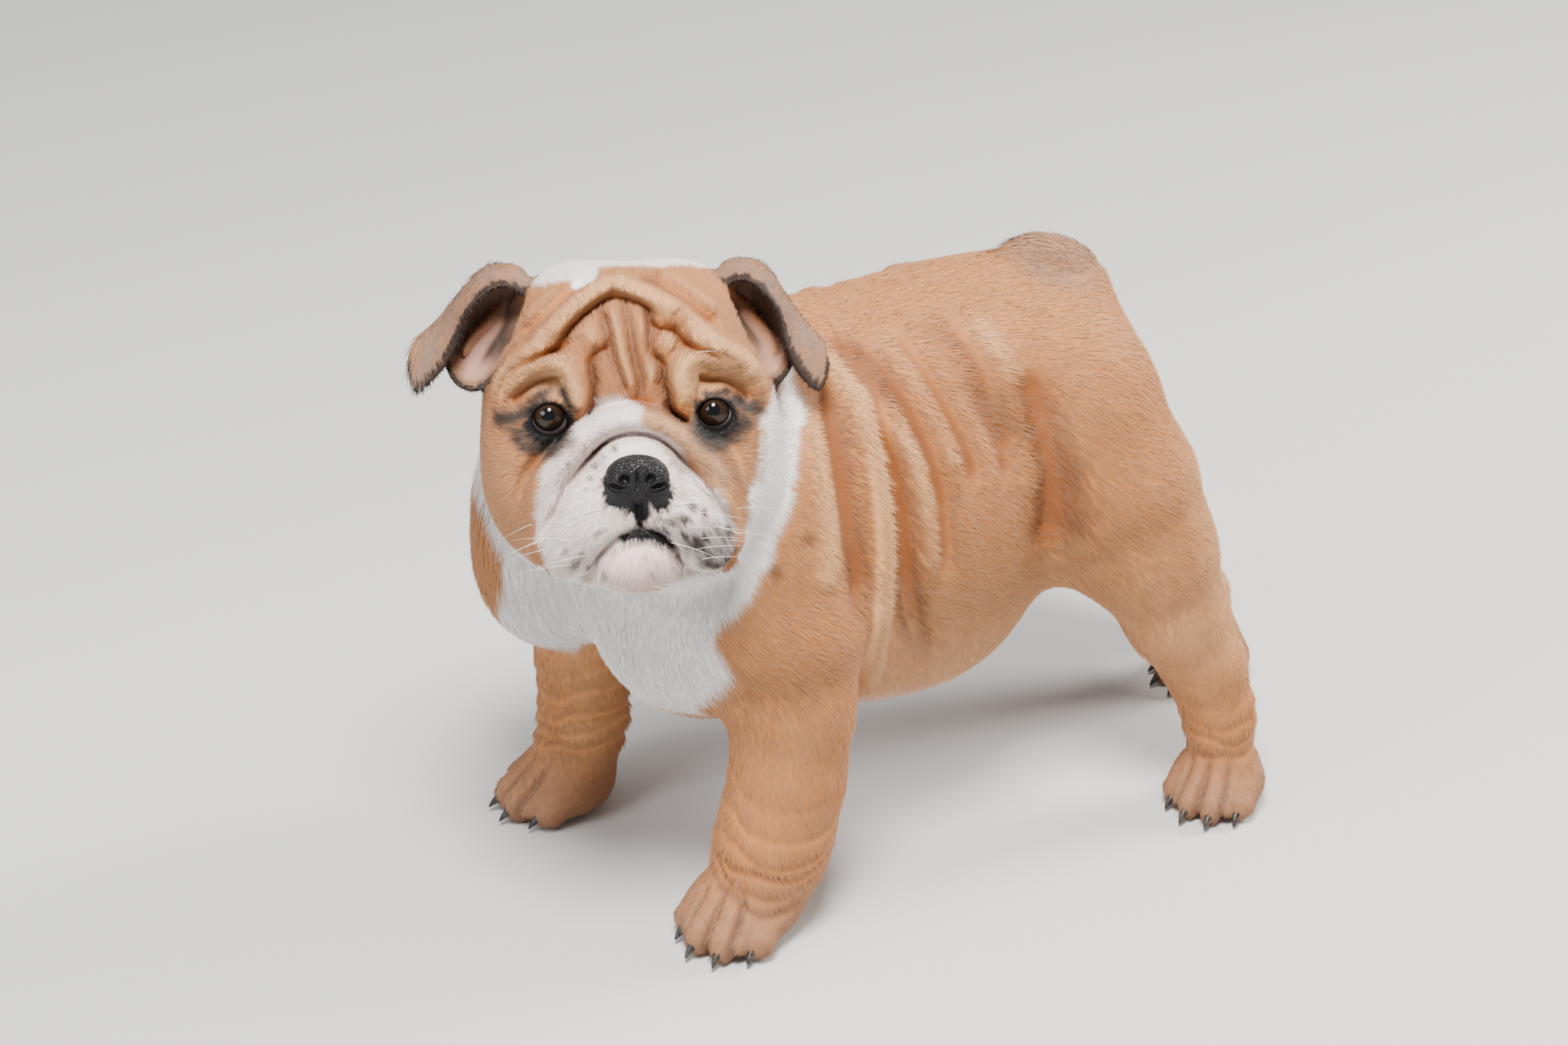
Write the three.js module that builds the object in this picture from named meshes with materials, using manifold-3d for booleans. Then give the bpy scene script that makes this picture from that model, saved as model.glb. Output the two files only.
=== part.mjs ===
// English bulldog puppy of about twelve weeks, standing, life size, in millimetres.
// It faces -Y with its head turned to its left, +Z is up and its back runs along Y.
import * as THREE from "three";
import { mergeVertices } from "three/addons/utils/BufferGeometryUtils.js";
import Module from "manifold-3d";

// Gap between neighbouring solids, and how finely the flesh is shaped
const GAP = 0.3;
const BODY_CELL = 3;
const BODY_TRIANGLES = 4000;
const HEAD_CELL = 1.4;
const HEAD_TRIANGLES = 5400;
const FACE_DETAIL = 10;
const PAW_DETAIL = 4;

// Where the figure's own middle lies, taken off at the end so that it stands centred
const MIDDLE = [3.0, 8.55];

// The head's centre, and how it is turned to the left and lifted, in degrees
const HEAD_CENTRE = [31.6, -143.4, 254];
const HEAD_TURN = 66;
const HEAD_LIFT = 19;
const HEAD_REACH = 95;
const HEAD_BLEND = 12;

// The cut between head and neck
const COLLAR_CENTRE = [10, -128, 235];
const COLLAR_AXIS = [0.55, -0.55, 0.63];
const COLLAR_RADIUS = 98;

// The chest stands a little turned, with the right front foot ahead of the left
const CHEST_TURN = 11;
const CHEST_Y = -105;

// Eyes, nose and ears in the head's own frame: x to the dog's left, -y ahead, z up
const EYE_RADIUS = 9.6;
const EYE_X = 36;
const EYE_Y = -37.5;
const EYE_Z = 11;
const EAR_THICKNESS = 2.2;
const RIGHT_EAR_SPREAD = 9;

// Claws
const CLAW_LENGTH = 9;
const CLAW_RADIUS = 2.1;
const CLAW_DROOP = 3.2;

// Colours
const TAN = 0xb9835a;
const WHITE = 0xe9e3da;
const PINK = 0xc99c8c;
const GREY_BROWN = 0x8a6c5a;
const BLACK = 0x1c1b1d;
const EYE_BROWN = 0x1d130d;

const SIDES = [-1, 1];
const radians = THREE.MathUtils.degToRad;

const wasm = await Module();
wasm.setup();

// Axes of a part turned about Z, then lifted, then rolled; rows of the result are x, y, z
function axes(turn, lift, roll) {
  const a = radians(turn);
  const b = radians(lift);
  const c = radians(roll);
  const rz = new THREE.Matrix4().makeRotationZ(a);
  const rx = new THREE.Matrix4().makeRotationX(-b);
  const ry = new THREE.Matrix4().makeRotationY(c);
  return rz.multiply(rx).multiply(ry);
}

function place(matrix, origin, x, y, z) {
  const v = new THREE.Vector3(x, y, z).applyMatrix4(matrix);
  return [v.x + origin[0], v.y + origin[1], v.z + origin[2]];
}

const HEAD_AXES = axes(HEAD_TURN, HEAD_LIFT, 0);
const CHEST_AXES = axes(CHEST_TURN, 0, 0);
const chest = (x, y, z) => place(CHEST_AXES, [0, CHEST_Y, 0], x, y, z);
const fromHead = (x, y, z) => place(HEAD_AXES, HEAD_CENTRE, x, y, z);

// A smooth union of two distances
function blend(a, b, k) {
  const h = Math.max(k - Math.abs(a - b), 0) / k;
  return Math.min(a, b) - h * h * k * 0.25;
}

// A body form: balls and tapered limbs that melt into each other
class Form {
  constructor() {
    this.items = [];
  }

  ball(centre, radii, k, turn = null, cut = false) {
    const [rx, ry, rz] = typeof radii === "number" ? [radii, radii, radii] : radii;
    const e = turn ? turn.elements : null;
    const [cx, cy, cz] = centre;
    const distance = (x, y, z) => {
      let u = x - cx;
      let v = y - cy;
      let w = z - cz;
      if (e) {
        const a = u * e[0] + v * e[1] + w * e[2];
        const b = u * e[4] + v * e[5] + w * e[6];
        const c = u * e[8] + v * e[9] + w * e[10];
        u = a;
        v = b;
        w = c;
      }
      u /= rx;
      v /= ry;
      w /= rz;
      const k0 = Math.sqrt(u * u + v * v + w * w) + 1e-9;
      u /= rx;
      v /= ry;
      w /= rz;
      const k1 = Math.sqrt(u * u + v * v + w * w) + 1e-9;
      return (k0 * (k0 - 1)) / k1;
    };
    this.items.push({ cx, cy, cz, reach: Math.max(rx, ry, rz), k, cut, distance });
  }

  // Balls given as x, y, z, radius, joined by tapered lengths
  limb(points, k) {
    for (let i = 0; i + 1 < points.length; i += 1) {
      this.length(points[i], points[i + 1], k);
    }
  }

  length(a, b, k) {
    const [ax, ay, az, ra] = a;
    const [bx, by, bz, rb] = b;
    const dx = bx - ax;
    const dy = by - ay;
    const dz = bz - az;
    const l2 = dx * dx + dy * dy + dz * dz;
    const rr = ra - rb;
    const a2 = Math.max(l2 - rr * rr, 1e-6);
    const il2 = 1 / l2;
    const distance = (x, y, z) => {
      const px = x - ax;
      const py = y - ay;
      const pz = z - az;
      const h = px * dx + py * dy + pz * dz;
      const g = h - l2;
      const wx = px * l2 - dx * h;
      const wy = py * l2 - dy * h;
      const wz = pz * l2 - dz * h;
      const x2 = wx * wx + wy * wy + wz * wz;
      const y2 = h * h * l2;
      const z2 = g * g * l2;
      const turn = Math.sign(rr) * rr * rr * x2;
      if (Math.sign(g) * a2 * z2 > turn) return Math.sqrt(x2 + z2) * il2 - rb;
      if (Math.sign(h) * a2 * y2 < turn) return Math.sqrt(x2 + y2) * il2 - ra;
      return (Math.sqrt(x2 * a2 * il2) + h * rr) * il2 - ra;
    };
    const reach = Math.sqrt(l2) / 2 + Math.max(ra, rb);
    const [cx, cy, cz] = [(ax + bx) / 2, (ay + by) / 2, (az + bz) / 2];
    this.items.push({ cx, cy, cz, reach, k, cut: false, distance });
  }

  at(x, y, z) {
    let d = 1000;
    for (const item of this.items) {
      const u = x - item.cx;
      const v = y - item.cy;
      const w = z - item.cz;
      const low = Math.sqrt(u * u + v * v + w * w) - item.reach;
      if (item.cut) {
        if (low < 4 + item.k) d = -blend(-d, item.distance(x, y, z), item.k);
      } else if (low < d + item.k) {
        d = blend(d, item.distance(x, y, z), item.k);
      }
    }
    return d;
  }
}

// A smooth line through points of any number of values
function smoothLine(points, steps) {
  const n = points.length;
  const mix = (p, q, s, t) => p.map((value, i) => s * value + t * q[i]);
  const all = [mix(points[0], points[1], 2, -1), ...points, mix(points[n - 1], points[n - 2], 2, -1)];
  const out = [];
  for (let i = 1; i < n; i += 1) {
    for (let s = 0; s < steps; s += 1) {
      const w = catmull(s / steps);
      const near = all.slice(i - 1, i + 3);
      out.push(points[0].map((_, j) => near.reduce((sum, point, at) => sum + w[at] * point[j], 0)));
    }
  }
  out.push(points[n - 1]);
  return out;
}

function catmull(t) {
  const t2 = t * t;
  const t3 = t2 * t;
  return [(-t + 2 * t2 - t3) / 2, (2 - 5 * t2 + 3 * t3) / 2, (t + 4 * t2 - 3 * t3) / 2, (-t2 + t3) / 2];
}

// Trunk, neck, legs and tail
const TOES = [[-19, 14, 9.5], [-7, 24, 10.5], [7, 24, 10.5], [19, 14, 9.5]];

function pawFrame(x, y, turn, size) {
  const a = radians(turn);
  return (side, ahead, z) => [
    x + (Math.cos(a) * side + Math.sin(a) * ahead) * size,
    y + (Math.sin(a) * side - Math.cos(a) * ahead) * size,
    z * size,
  ];
}

const leftFront = chest(73, -21, 0);
const rightFront = chest(-75, -18, 0);
const PAWS = {
  front_left: { x: leftFront[0], y: leftFront[1], turn: 30, size: 0.96 },
  front_right: { x: rightFront[0], y: rightFront[1], turn: -4, size: 0.96 },
  hind_left: { x: 81, y: 156, turn: 34, size: 0.86 },
  hind_right: { x: -29, y: 222, turn: 10, size: 0.86 },
};

const HIND_LEFT_LEG = [
  [54, 108, 176, 38], [64, 119, 142, 30.5], [70, 132, 108, 23.5], [75, 147, 78, 18.5], [78, 155, 52, 16],
  [80, 158, 26, 17],
];
const HIND_RIGHT_LEG = [
  [-52, 110, 176, 38], [-50, 136, 142, 28], [-44.5, 166, 110, 21.5], [-37, 199, 80, 17], [-31.5, 214, 52, 15.5],
  [-30, 223, 26, 16],
];

function shapeBody() {
  const f = new Form();
  f.ball([0, -42, 176], [76, 88, 101], 30);
  f.ball([0, 14, 168], [77, 77, 99], 30);
  f.ball([0, 81, 216], [62, 53, 59], 30);
  f.ball([0, 36, 237.5], [50, 96, 46], 20);
  f.ball(chest(0, 4, 148), [60, 42, 54], 26);
  f.ball(chest(0, 8, 122), [46, 38, 32], 24);
  f.ball(chest(-74, -16, 134), [32, 37, 40], 20);
  for (const s of SIDES) {
    f.ball(s > 0 ? chest(60, 2, 172) : chest(-68, -16, 172), [38, 46, 60], 26);
    f.ball([s * 45, 97, 186], [37, 38, 66], 26);
  }
  f.limb([[0, -70, 208, 70], [-4, -110, 238, 58], [2, -126, 250, 54]], 24);
  for (const s of SIDES) {
    const back = s > 0 ? 0 : -6;
    const slimmer = s > 0 ? 0 : 1;
    f.limb([
      [...chest(s * 72, 8 + back, 150), 33 - slimmer],
      [...chest(s * 76, 8 + back, 112), 26 - 2.5 * slimmer],
      [...chest(s * 77, 4 + back, 78), 24.5 - 4 * slimmer],
      [...chest(s * 75.5, -3, 48), 25 - 5 * slimmer],
      [...chest(s * 75, -10, 28), 24 - 3.5 * slimmer],
    ], 16);
  }
  f.limb(HIND_LEFT_LEG, 14);
  f.limb(HIND_RIGHT_LEG, 14);
  for (const { x, y, turn, size } of Object.values(PAWS)) {
    const at = pawFrame(x, y, turn, size);
    f.ball(at(0, 0, 15), [27 * size, 27 * size, 17 * size], 10);
    for (const [side, ahead, r] of TOES) {
      f.limb([[...at(side * 0.8, ahead - 16, 20), r * size], [...at(side, ahead, 10.5), r * size]], 4);
    }
  }
  return f;
}

// The stub of a tail rises from the rump and curls forward onto the back
function shapeTail() {
  const f = new Form();
  f.limb(smoothLine([[0, 109, 249, 19], [0, 107, 265, 14], [-2, 94, 275.5, 11], [-4, 79, 277.5, 8.5]], 2), 6);
  return f;
}

// Skull, cheeks, muzzle and the rolls of the face, in the head's frame
const BROW = [
  [53, -34, 12, 4.5], [52, -31, 22, 5], [45, -34, 30, 5.5], [34, -40, 34, 5.5], [25, -44, 32, 5.5],
  [21, -45, 25, 5.5], [21, -44, 17, 5.5], [24, -43, 9, 4.5],
];
const FOREHEAD_ROLL = [
  [-50, -26, 36, 4], [-38, -34, 44, 5], [-25, -36, 55, 5], [-14, -34, 62, 5], [-5, -33, 65, 5],
  [5, -36, 62, 5], [15, -38, 57, 4.5], [24, -38, 51, 4.5], [33, -37, 43, 4],
];
const NOSE_ROLL = [
  [-46, -36, -38, 6], [-41, -46, -26, 7], [-35, -50, -13, 7], [-26, -50, -2, 7], [-16, -49, 5, 7],
  [-5, -50, 9, 7], [5, -50, 9, 7], [16, -49, 6, 7], [25, -49, 0, 7], [34, -50, -9, 7],
  [40, -46, -20, 7], [46, -36, -34, 6],
];
const MOUTH_LINE = [
  [-21, -60], [-19, -56], [-17, -50], [-14, -46], [-10, -42],
  [-5, -39], [1.5, -36.5], [8, -38], [13, -41], [17, -46],
  [18, -51], [22, -58],
];

function shapeHead() {
  const h = new Form();
  h.ball([0, 10, 30], [58, 56, 44], 16);
  h.ball([0, -20, 36], [44, 28, 32], 16);
  h.ball([0, -32, 12], [26, 18, 22], 12);
  for (const s of SIDES) {
    h.ball([s * 26, 8, 40], [26, 34, 31], 16);
    h.ball([s * 38, 2, 10], [27, 40, 34], 16);
    h.ball([s * 38.5, -8, -19], [28, 40, 35], 16);
    h.ball([s * 36, -24, 0], [24, 20, 24], 12);
  }
  h.ball([0, -4, -42], [50, 44, 30], 18);
  h.ball([0, -40, -26], [38, 27, 27], 12);
  for (const s of SIDES) {
    h.ball([s * 23 + 1, -47, -34], [20.5, 21, 21.5], 7);
    h.ball([s * 33, -39, -46], [14, 22, 16], 8);
  }
  h.ball([0, -43, -54], [24, 21, 13], 5);
  h.ball([1, -54, -10], [17, 12, 14], 8);
  for (const s of SIDES) {
    h.ball([s * EYE_X, EYE_Y, EYE_Z], 11.4, 5);
  }
  h.limb(smoothLine(NOSE_ROLL, 3), 4);
  h.limb(smoothLine(FOREHEAD_ROLL, 2), 5);
  for (const s of SIDES) {
    h.limb(smoothLine(BROW, 2).map(([x, y, z, r]) => [s * x, y, z, r]), 5);
  }
  for (const s of SIDES) {
    h.ball([s * 36.2, -52, 9.9], [8.3, 15, 7.4], 1.2, axes(0, 0, 12 * s), true);
    h.ball([s * 57, -2, 42], [13, 20, 23], 3, axes(0, 0, -24 * s), true);
  }
  return h;
}

// Creases of the face as seen from the front, in x and z
const ROPE_CREASE_RIGHT = [
  [-56, 14], [-53, 26], [-46, 33], [-38, 37], [-30, 40],
  [-27, 46], [-21, 53], [-13, 59], [-6, 63],
];
const ROPE_CREASE_LEFT = [
  [-6, 63], [0, 61], [8, 57], [9, 50], [13, 47],
  [19, 46], [22, 42], [26, 39], [33, 37], [43, 33],
];
const FOREHEAD_CREASE_RIGHT = [[-12, 56], [-10, 49], [-9, 41], [-14, 38], [-17, 33], [-16, 23], [-16, 14]];
const FOREHEAD_CREASE_MIDDLE = [[-2, 55], [0, 47], [2, 33], [4, 26], [4, 18]];
const FOREHEAD_CREASE_LEFT = [[9, 50], [9, 36], [14, 32], [14, 25], [16, 19], [17, 13], [21, 9]];
const LID_CREASE_RIGHT = [[-48, 15], [-45, 22], [-34, 26], [-29, 27]];
const LID_CREASE_LEFT = [[48, 15], [43, 22], [34, 25], [29, 28]];
const CHEEK_CREASE_LEFT = [[55, 20], [55, 5], [53, -15], [49, -30]];
const NOSE_ROLL_CREASE = [
  [-36, -32], [-30, -20], [-25, -13], [-19, -6], [-11, 1], [-4, 3.5],
  [4, 3.5], [11, 1], [18, -5], [24, -12], [31, -21], [38, -32],
];
const PHILTRUM = [[1.2, -24], [1.5, -36]];

// Each with its depth and half width
const CREASES = [
  [ROPE_CREASE_RIGHT, 3.2, 2.4],
  [ROPE_CREASE_LEFT, 2.8, 2.2],
  [FOREHEAD_CREASE_RIGHT, 2.6, 2.2],
  [FOREHEAD_CREASE_MIDDLE, 1.8, 2.2],
  [FOREHEAD_CREASE_LEFT, 2.8, 2.2],
  [LID_CREASE_RIGHT, 2.4, 2.2],
  [LID_CREASE_LEFT, 2.4, 2.2],
  [CHEEK_CREASE_LEFT, 2.2, 2.4],
  [NOSE_ROLL_CREASE, 2.6, 2.0],
  [MOUTH_LINE, 2.6, 1.9],
  [PHILTRUM, 2.2, 1.5],
].map(([line, depth, width]) => ({ line: smoothLine(line, 3), depth, width }));

function creaseDepth(x, y, z) {
  if (y > -12) return 0;
  let sum = 0;
  for (const { line, depth, width } of CREASES) {
    let best = 400;
    let share = 0;
    for (let i = 0; i + 1 < line.length; i += 1) {
      const [ax, az] = line[i];
      const bx = line[i + 1][0] - ax;
      const bz = line[i + 1][1] - az;
      const t = Math.min(1, Math.max(0, ((x - ax) * bx + (z - az) * bz) / (bx * bx + bz * bz)));
      const u = x - ax - bx * t;
      const v = z - az - bz * t;
      const d2 = u * u + v * v;
      if (d2 < best) {
        best = d2;
        share = (i + t) / (line.length - 1);
      }
    }
    const ends = Math.min(1, Math.min(share, 1 - share) * 8 + 0.25);
    sum += depth * ends * Math.exp(-best / (width * width));
  }
  return Math.min(sum, 4.5) * Math.min(1, (-12 - y) / 14);
}

const BODY = shapeBody();
const HEAD = shapeHead();
const H = HEAD_AXES.elements;

function headDistance(x, y, z) {
  const d = HEAD.at(x, y, z);
  return Math.abs(d) < 9 ? d + creaseDepth(x, y, z) : d;
}

function fleshDistance(x, y, z) {
  const d = BODY.at(x, y, z);
  const u = x - HEAD_CENTRE[0];
  const v = y - HEAD_CENTRE[1];
  const w = z - HEAD_CENTRE[2];
  if (Math.sqrt(u * u + v * v + w * w) - HEAD_REACH > 20) return d;
  const a = u * H[0] + v * H[1] + w * H[2];
  const b = u * H[4] + v * H[5] + w * H[6];
  const c = u * H[8] + v * H[9] + w * H[10];
  return blend(d, headDistance(a, b, c), HEAD_BLEND);
}

// Surface of a distance: each cube of a grid is split in six, so that it always closes
const CORNERS = [0, 1, 2, 3, 4, 5, 6, 7].map((i) => [i & 1, (i >> 1) & 1, i >> 2]);
const SIXTHS = [[0, 1, 3, 7], [0, 1, 5, 7], [0, 2, 3, 7], [0, 2, 6, 7], [0, 4, 5, 7], [0, 4, 6, 7]];

function surface(distance, low, high, cell) {
  const block = 6;
  const n = low.map((value, i) => Math.ceil((high[i] - value) / cell / block) * block + 1);
  const values = new Float32Array(n[0] * n[1] * n[2]).fill(NaN);
  const index = (i, j, k) => (i * n[1] + j) * n[2] + k;
  const value = (i, j, k) => {
    const at = index(i, j, k);
    if (Number.isNaN(values[at])) {
      values[at] = distance(low[0] + i * cell, low[1] + j * cell, low[2] + k * cell);
    }
    return values[at];
  };
  const points = [];
  const triangles = [];
  const made = new Map();

  const crossing = (i, j, k, a, b) => {
    const [p, q] = a < b ? [a, b] : [b, a];
    const [pi, pj, pk] = CORNERS[p];
    const [qi, qj, qk] = CORNERS[q];
    const key = index(i + pi, j + pj, k + pk) * 8 + (q ^ p);
    let id = made.get(key);
    if (id === undefined) {
      const v0 = value(i + pi, j + pj, k + pk);
      const v1 = value(i + qi, j + qj, k + qk);
      const t = Math.min(0.95, Math.max(0.05, v0 / (v0 - v1)));
      id = points.length / 3;
      points.push(
        low[0] + (i + pi + (qi - pi) * t) * cell,
        low[1] + (j + pj + (qj - pj) * t) * cell,
        low[2] + (k + pk + (qk - pk) * t) * cell,
      );
      made.set(key, id);
    }
    return id;
  };

  // A triangle is turned so that it faces away from the inner corner
  const face = (a, b, c, inner, outer) => {
    const p = (id, axis) => points[id * 3 + axis];
    const ux = p(b, 0) - p(a, 0);
    const uy = p(b, 1) - p(a, 1);
    const uz = p(b, 2) - p(a, 2);
    const vx = p(c, 0) - p(a, 0);
    const vy = p(c, 1) - p(a, 1);
    const vz = p(c, 2) - p(a, 2);
    const out = (uy * vz - uz * vy) * (outer[0] - inner[0])
      + (uz * vx - ux * vz) * (outer[1] - inner[1])
      + (ux * vy - uy * vx) * (outer[2] - inner[2]);
    if (out > 0) triangles.push(a, b, c);
    else triangles.push(a, c, b);
  };

  const cube = (i, j, k) => {
    const v = CORNERS.map(([a, b, c]) => value(i + a, j + b, k + c));
    if (v.every((d) => d < 0) || v.every((d) => d >= 0)) return;
    for (const sixth of SIXTHS) {
      const inside = sixth.filter((c) => v[c] < 0);
      const outside = sixth.filter((c) => v[c] >= 0);
      const at = (a, b) => crossing(i, j, k, a, b);
      const inner = CORNERS[inside[0] ?? 0];
      const outer = CORNERS[outside[0] ?? 0];
      if (inside.length === 1) {
        face(at(inside[0], outside[0]), at(inside[0], outside[1]), at(inside[0], outside[2]), inner, outer);
      } else if (inside.length === 3) {
        face(at(outside[0], inside[0]), at(outside[0], inside[1]), at(outside[0], inside[2]), inner, outer);
      } else if (inside.length === 2) {
        const [a, b] = inside;
        const [c, d] = outside;
        const mid = (p, q) => [0, 1, 2].map((axis) => (CORNERS[p][axis] + CORNERS[q][axis]) / 2);
        face(at(a, c), at(a, d), at(b, d), mid(a, b), mid(c, d));
        face(at(a, c), at(b, d), at(b, c), mid(a, b), mid(c, d));
      }
    }
  };

  const half = (block * cell) / 2;
  for (let i = 0; i < n[0] - 1; i += block) {
    for (let j = 0; j < n[1] - 1; j += block) {
      for (let k = 0; k < n[2] - 1; k += block) {
        const d = distance(low[0] + i * cell + half, low[1] + j * cell + half, low[2] + k * cell + half);
        if (Math.abs(d) > half * 2.7 + 3) continue;
        for (let a = i; a < i + block; a += 1) {
          for (let b = j; b < j + block; b += 1) {
            for (let c = k; c < k + block; c += 1) cube(a, b, c);
          }
        }
      }
    }
  }
  return { points: Float64Array.from(points), triangles: Int32Array.from(triangles) };
}

// Draws each point towards the middle of its neighbours, which takes out the grid's steps
function smoothed({ points, triangles }, rounds) {
  for (let round = 0; round < rounds; round += 1) {
    const sum = new Float64Array(points.length);
    const times = new Float64Array(points.length / 3);
    for (let i = 0; i < triangles.length; i += 1) {
      const from = triangles[i];
      const to = triangles[i % 3 === 2 ? i - 2 : i + 1];
      for (let axis = 0; axis < 3; axis += 1) sum[from * 3 + axis] += points[to * 3 + axis];
      times[from] += 1;
    }
    for (let i = 0; i < points.length; i += 1) {
      points[i] = (points[i] + sum[i] / times[Math.floor(i / 3)]) / 2;
    }
  }
  return { points, triangles };
}

// Joins short edges of a closed surface, those that change its shape least first
function coarsen({ points, triangles }, target, detail) {
  const count = points.length / 3;
  const faces = triangles.length / 3;
  const quadrics = new Float64Array(count * 10);
  const around = Array.from({ length: count }, () => []);
  const alive = new Uint8Array(faces).fill(1);
  const gone = new Uint8Array(count);
  const version = new Int32Array(count);
  const refused = Array.from({ length: count }, () => []);

  const normalOf = (a, b, c) => {
    const ux = points[b * 3] - points[a * 3];
    const uy = points[b * 3 + 1] - points[a * 3 + 1];
    const uz = points[b * 3 + 2] - points[a * 3 + 2];
    const vx = points[c * 3] - points[a * 3];
    const vy = points[c * 3 + 1] - points[a * 3 + 1];
    const vz = points[c * 3 + 2] - points[a * 3 + 2];
    return [uy * vz - uz * vy, uz * vx - ux * vz, ux * vy - uy * vx];
  };

  for (let f = 0; f < faces; f += 1) {
    const a = triangles[f * 3];
    const b = triangles[f * 3 + 1];
    const c = triangles[f * 3 + 2];
    const [x, y, z] = normalOf(a, b, c);
    const size = Math.sqrt(x * x + y * y + z * z) || 1e-12;
    const nx = x / size;
    const ny = y / size;
    const nz = z / size;
    const d = -(nx * points[a * 3] + ny * points[a * 3 + 1] + nz * points[a * 3 + 2]);
    const w = size * detail(points[a * 3], points[a * 3 + 1], points[a * 3 + 2]);
    for (const v of [a, b, c]) {
      around[v].push(f);
      const q = v * 10;
      quadrics[q] += w * nx * nx;
      quadrics[q + 1] += w * nx * ny;
      quadrics[q + 2] += w * nx * nz;
      quadrics[q + 3] += w * nx * d;
      quadrics[q + 4] += w * ny * ny;
      quadrics[q + 5] += w * ny * nz;
      quadrics[q + 6] += w * ny * d;
      quadrics[q + 7] += w * nz * nz;
      quadrics[q + 8] += w * nz * d;
      quadrics[q + 9] += w * d * d;
    }
  }

  // The best place for a joined point, and what moving there costs
  const joined = (u, v) => {
    const q = new Array(10);
    for (let i = 0; i < 10; i += 1) q[i] = quadrics[u * 10 + i] + quadrics[v * 10 + i];
    const mx = (points[u * 3] + points[v * 3]) / 2;
    const my = (points[u * 3 + 1] + points[v * 3 + 1]) / 2;
    const mz = (points[u * 3 + 2] + points[v * 3 + 2]) / 2;
    const dx = points[u * 3] - points[v * 3];
    const dy = points[u * 3 + 1] - points[v * 3 + 1];
    const dz = points[u * 3 + 2] - points[v * 3 + 2];
    const l2 = dx * dx + dy * dy + dz * dz;
    // a weak pull to the middle keeps the answer near the edge where the surface is flat
    const pull = 1e-3 * (q[0] + q[4] + q[7]) + 1e-9;
    const a = q[0] + pull;
    const e = q[4] + pull;
    const i = q[7] + pull;
    const b = q[1];
    const c = q[2];
    const f = q[5];
    const rx = -q[3] + pull * mx;
    const ry = -q[6] + pull * my;
    const rz = -q[8] + pull * mz;
    const det = a * (e * i - f * f) - b * (b * i - f * c) + c * (b * f - e * c);
    let x = mx;
    let y = my;
    let z = mz;
    if (Math.abs(det) > 1e-12) {
      const ox = (rx * (e * i - f * f) - b * (ry * i - f * rz) + c * (ry * f - e * rz)) / det;
      const oy = (a * (ry * i - f * rz) - rx * (b * i - f * c) + c * (b * rz - ry * c)) / det;
      const oz = (a * (e * rz - ry * f) - b * (b * rz - ry * c) + rx * (b * f - e * c)) / det;
      const far = (ox - mx) ** 2 + (oy - my) ** 2 + (oz - mz) ** 2;
      if (far < l2 * 1.5) {
        x = ox;
        y = oy;
        z = oz;
      }
    }
    const cost = q[0] * x * x + 2 * q[1] * x * y + 2 * q[2] * x * z + 2 * q[3] * x
      + q[4] * y * y + 2 * q[5] * y * z + 2 * q[6] * y + q[7] * z * z + 2 * q[8] * z + q[9];
    return { x, y, z, cost: Math.max(cost, 0) + 2e-4 * l2 * (q[0] + q[4] + q[7]) };
  };

  // A heap of edges, cheapest first
  const heap = [];
  const push = (edge) => {
    let i = heap.push(edge) - 1;
    while (i > 0) {
      const up = (i - 1) >> 1;
      if (heap[up].cost <= heap[i].cost) break;
      [heap[up], heap[i]] = [heap[i], heap[up]];
      i = up;
    }
  };
  const pop = () => {
    const top = heap[0];
    const last = heap.pop();
    if (heap.length > 0) {
      heap[0] = last;
      let i = 0;
      for (;;) {
        let small = i;
        const l = 2 * i + 1;
        const r = l + 1;
        if (l < heap.length && heap[l].cost < heap[small].cost) small = l;
        if (r < heap.length && heap[r].cost < heap[small].cost) small = r;
        if (small === i) break;
        [heap[small], heap[i]] = [heap[i], heap[small]];
        i = small;
      }
    }
    return top;
  };
  const offer = (u, v) => {
    const j = joined(u, v);
    push({ u, v, x: j.x, y: j.y, z: j.z, cost: j.cost, stampU: version[u], stampV: version[v] });
  };
  const neighbours = (v) => {
    const set = new Set();
    for (const f of around[v]) {
      if (!alive[f]) continue;
      for (let i = 0; i < 3; i += 1) set.add(triangles[f * 3 + i]);
    }
    set.delete(v);
    return set;
  };

  // True where moving v to a new place turns or flattens none of its other faces
  const keepsFaces = (v, other, x, y, z) => {
    for (const f of around[v]) {
      if (!alive[f]) continue;
      const t = [triangles[f * 3], triangles[f * 3 + 1], triangles[f * 3 + 2]];
      if (t.includes(other)) continue;
      const [ox, oy, oz] = normalOf(...t);
      const saved = [points[v * 3], points[v * 3 + 1], points[v * 3 + 2]];
      points[v * 3] = x;
      points[v * 3 + 1] = y;
      points[v * 3 + 2] = z;
      const [nx, ny, nz] = normalOf(...t);
      let longest = 0;
      for (let i = 0; i < 3; i += 1) {
        const p = t[i] * 3;
        const r = t[(i + 1) % 3] * 3;
        const [sx, sy, sz] = [0, 1, 2].map((axis) => points[p + axis] - points[r + axis]);
        longest = Math.max(longest, sx * sx + sy * sy + sz * sz);
      }
      points.set(saved, v * 3);
      const before = Math.sqrt(ox * ox + oy * oy + oz * oz);
      const after = Math.sqrt(nx * nx + ny * ny + nz * nz);
      if (after < 0.06 * longest) return false;
      if (ox * nx + oy * ny + oz * nz < 0.35 * before * after) return false;
    }
    return true;
  };

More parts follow.
